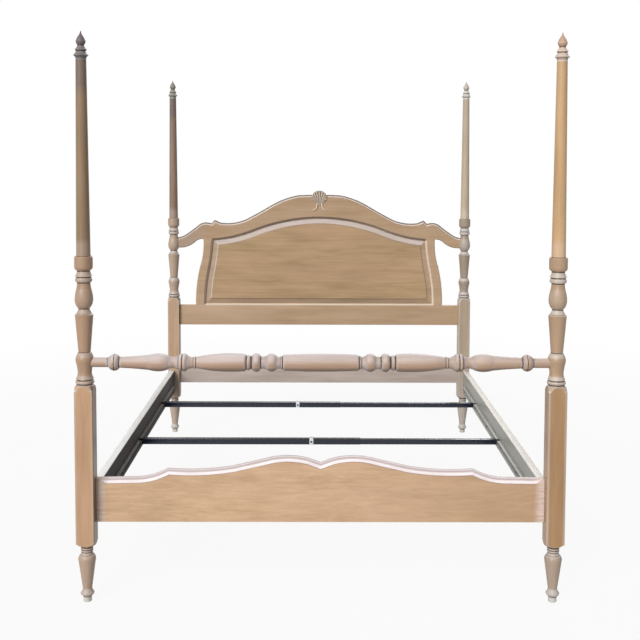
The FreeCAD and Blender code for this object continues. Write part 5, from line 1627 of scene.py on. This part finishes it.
# Stage: floor, light and camera

WHITE = (1, 1, 1, 1)
FLOOR_HALF = 20.0
FLOOR_COLOUR = (190, 189, 187)
# Seen directly, the floor is nearly white under the bed and wholly white from the second distance on
FLOOR_WHITENESS = 0.92
FLOOR_FADE = (1.8, 4.6)


def build_floor():
    """Pale floor that keeps the shadow and runs out into the white background."""
    mesh = bpy.data.meshes.new("studio_floor")
    corners = [(-FLOOR_HALF, -FLOOR_HALF, 0), (FLOOR_HALF, -FLOOR_HALF, 0), (FLOOR_HALF, FLOOR_HALF, 0),
               (-FLOOR_HALF, FLOOR_HALF, 0)]
    mesh.from_pydata(corners, [], [(0, 1, 2, 3)])
    floor = bpy.data.objects.new("studio_floor", mesh)
    bpy.context.scene.collection.objects.link(floor)
    material = bpy.data.materials.new("studio_floor")
    material.use_nodes = True
    tree = material.node_tree
    tree.nodes.clear()
    place = node(tree, "ShaderNodeTexCoord").outputs["Object"]
    away = node(tree, "ShaderNodeVectorMath", {0: place}, operation="LENGTH").outputs["Value"]
    matt = node(tree, "ShaderNodeBsdfDiffuse", {"Color": srgb(*FLOOR_COLOUR)}).outputs[0]
    white = node(tree, "ShaderNodeEmission", {"Color": WHITE, "Strength": 1.0}).outputs[0]
    whiteness = spread(tree, away, *FLOOR_FADE, FLOOR_WHITENESS, 1.0)
    share = math_node(tree, "MULTIPLY", seen_directly(tree), whiteness)
    surface = node(tree, "ShaderNodeMixShader", {0: share, 1: matt, 2: white}).outputs[0]
    node(tree, "ShaderNodeOutputMaterial", {"Surface": surface})
    mesh.materials.append(material)


AMBIENT = 0.21
# Ways towards the two lamps: the key from the upper left, a weaker one from behind so that the back reads
KEY_WAY = Vector((-0.40, -0.77, 0.50))
KEY_STRENGTH = 3.0
BACK_WAY = Vector((0.25, 0.80, 0.50))
BACK_STRENGTH = 1.3
LAMP_SPREAD = math.radians(38)


def build_lamp(name, way, strength):
    """Broad, soft and even studio light from one way."""
    lamp = bpy.data.lights.new(name, "SUN")
    lamp.angle = LAMP_SPREAD
    lamp.energy = strength
    holder = bpy.data.objects.new(name, lamp)
    holder.rotation_euler = (-way).to_track_quat("-Z", "Y").to_euler()
    bpy.context.scene.collection.objects.link(holder)


def build_light():
    """White world, dimmer where it lights the bed, a lamp from the upper left and a weaker one behind."""
    world = bpy.data.worlds.new("studio_world")
    bpy.context.scene.world = world
    world.use_nodes = True
    tree = world.node_tree
    background = tree.nodes["Background"].inputs
    background["Color"].default_value = WHITE
    tree.links.new(between(tree, seen_directly(tree), AMBIENT, 1.0), background["Strength"])
    build_lamp("studio_key", KEY_WAY, KEY_STRENGTH)
    build_lamp("studio_back", BACK_WAY, BACK_STRENGTH)


CAMERA_PLACE = Vector((-0.018, -4.4288, 1.5327))
CAMERA_YAW = math.radians(0.23)
CAMERA_PITCH = math.radians(-3.78)
CAMERA_ROLL = math.radians(0.17)
CAMERA_SENSOR = 36.0
CAMERA_LENS = 55.95
CAMERA_SHIFT = -0.15


def build_camera():
    """Camera at the photograph's place: eye level, square to the bed, with its lens shifted to frame it."""
    data = bpy.data.cameras.new("camera")
    data.sensor_width = CAMERA_SENSOR
    data.lens = CAMERA_LENS
    data.shift_y = CAMERA_SHIFT
    camera = bpy.data.objects.new("camera", data)
    turn = Matrix.Rotation(-CAMERA_YAW, 4, "Z")
    tilt = Matrix.Rotation(math.pi / 2 + CAMERA_PITCH, 4, "X")
    roll = Matrix.Rotation(CAMERA_ROLL, 4, "Z")
    camera.matrix_world = Matrix.Translation(CAMERA_PLACE) @ turn @ tilt @ roll
    bpy.context.scene.collection.objects.link(camera)
    bpy.context.scene.camera = camera


build_floor()
build_light()
build_camera()
bpy.context.scene.view_settings.view_transform = "Standard"
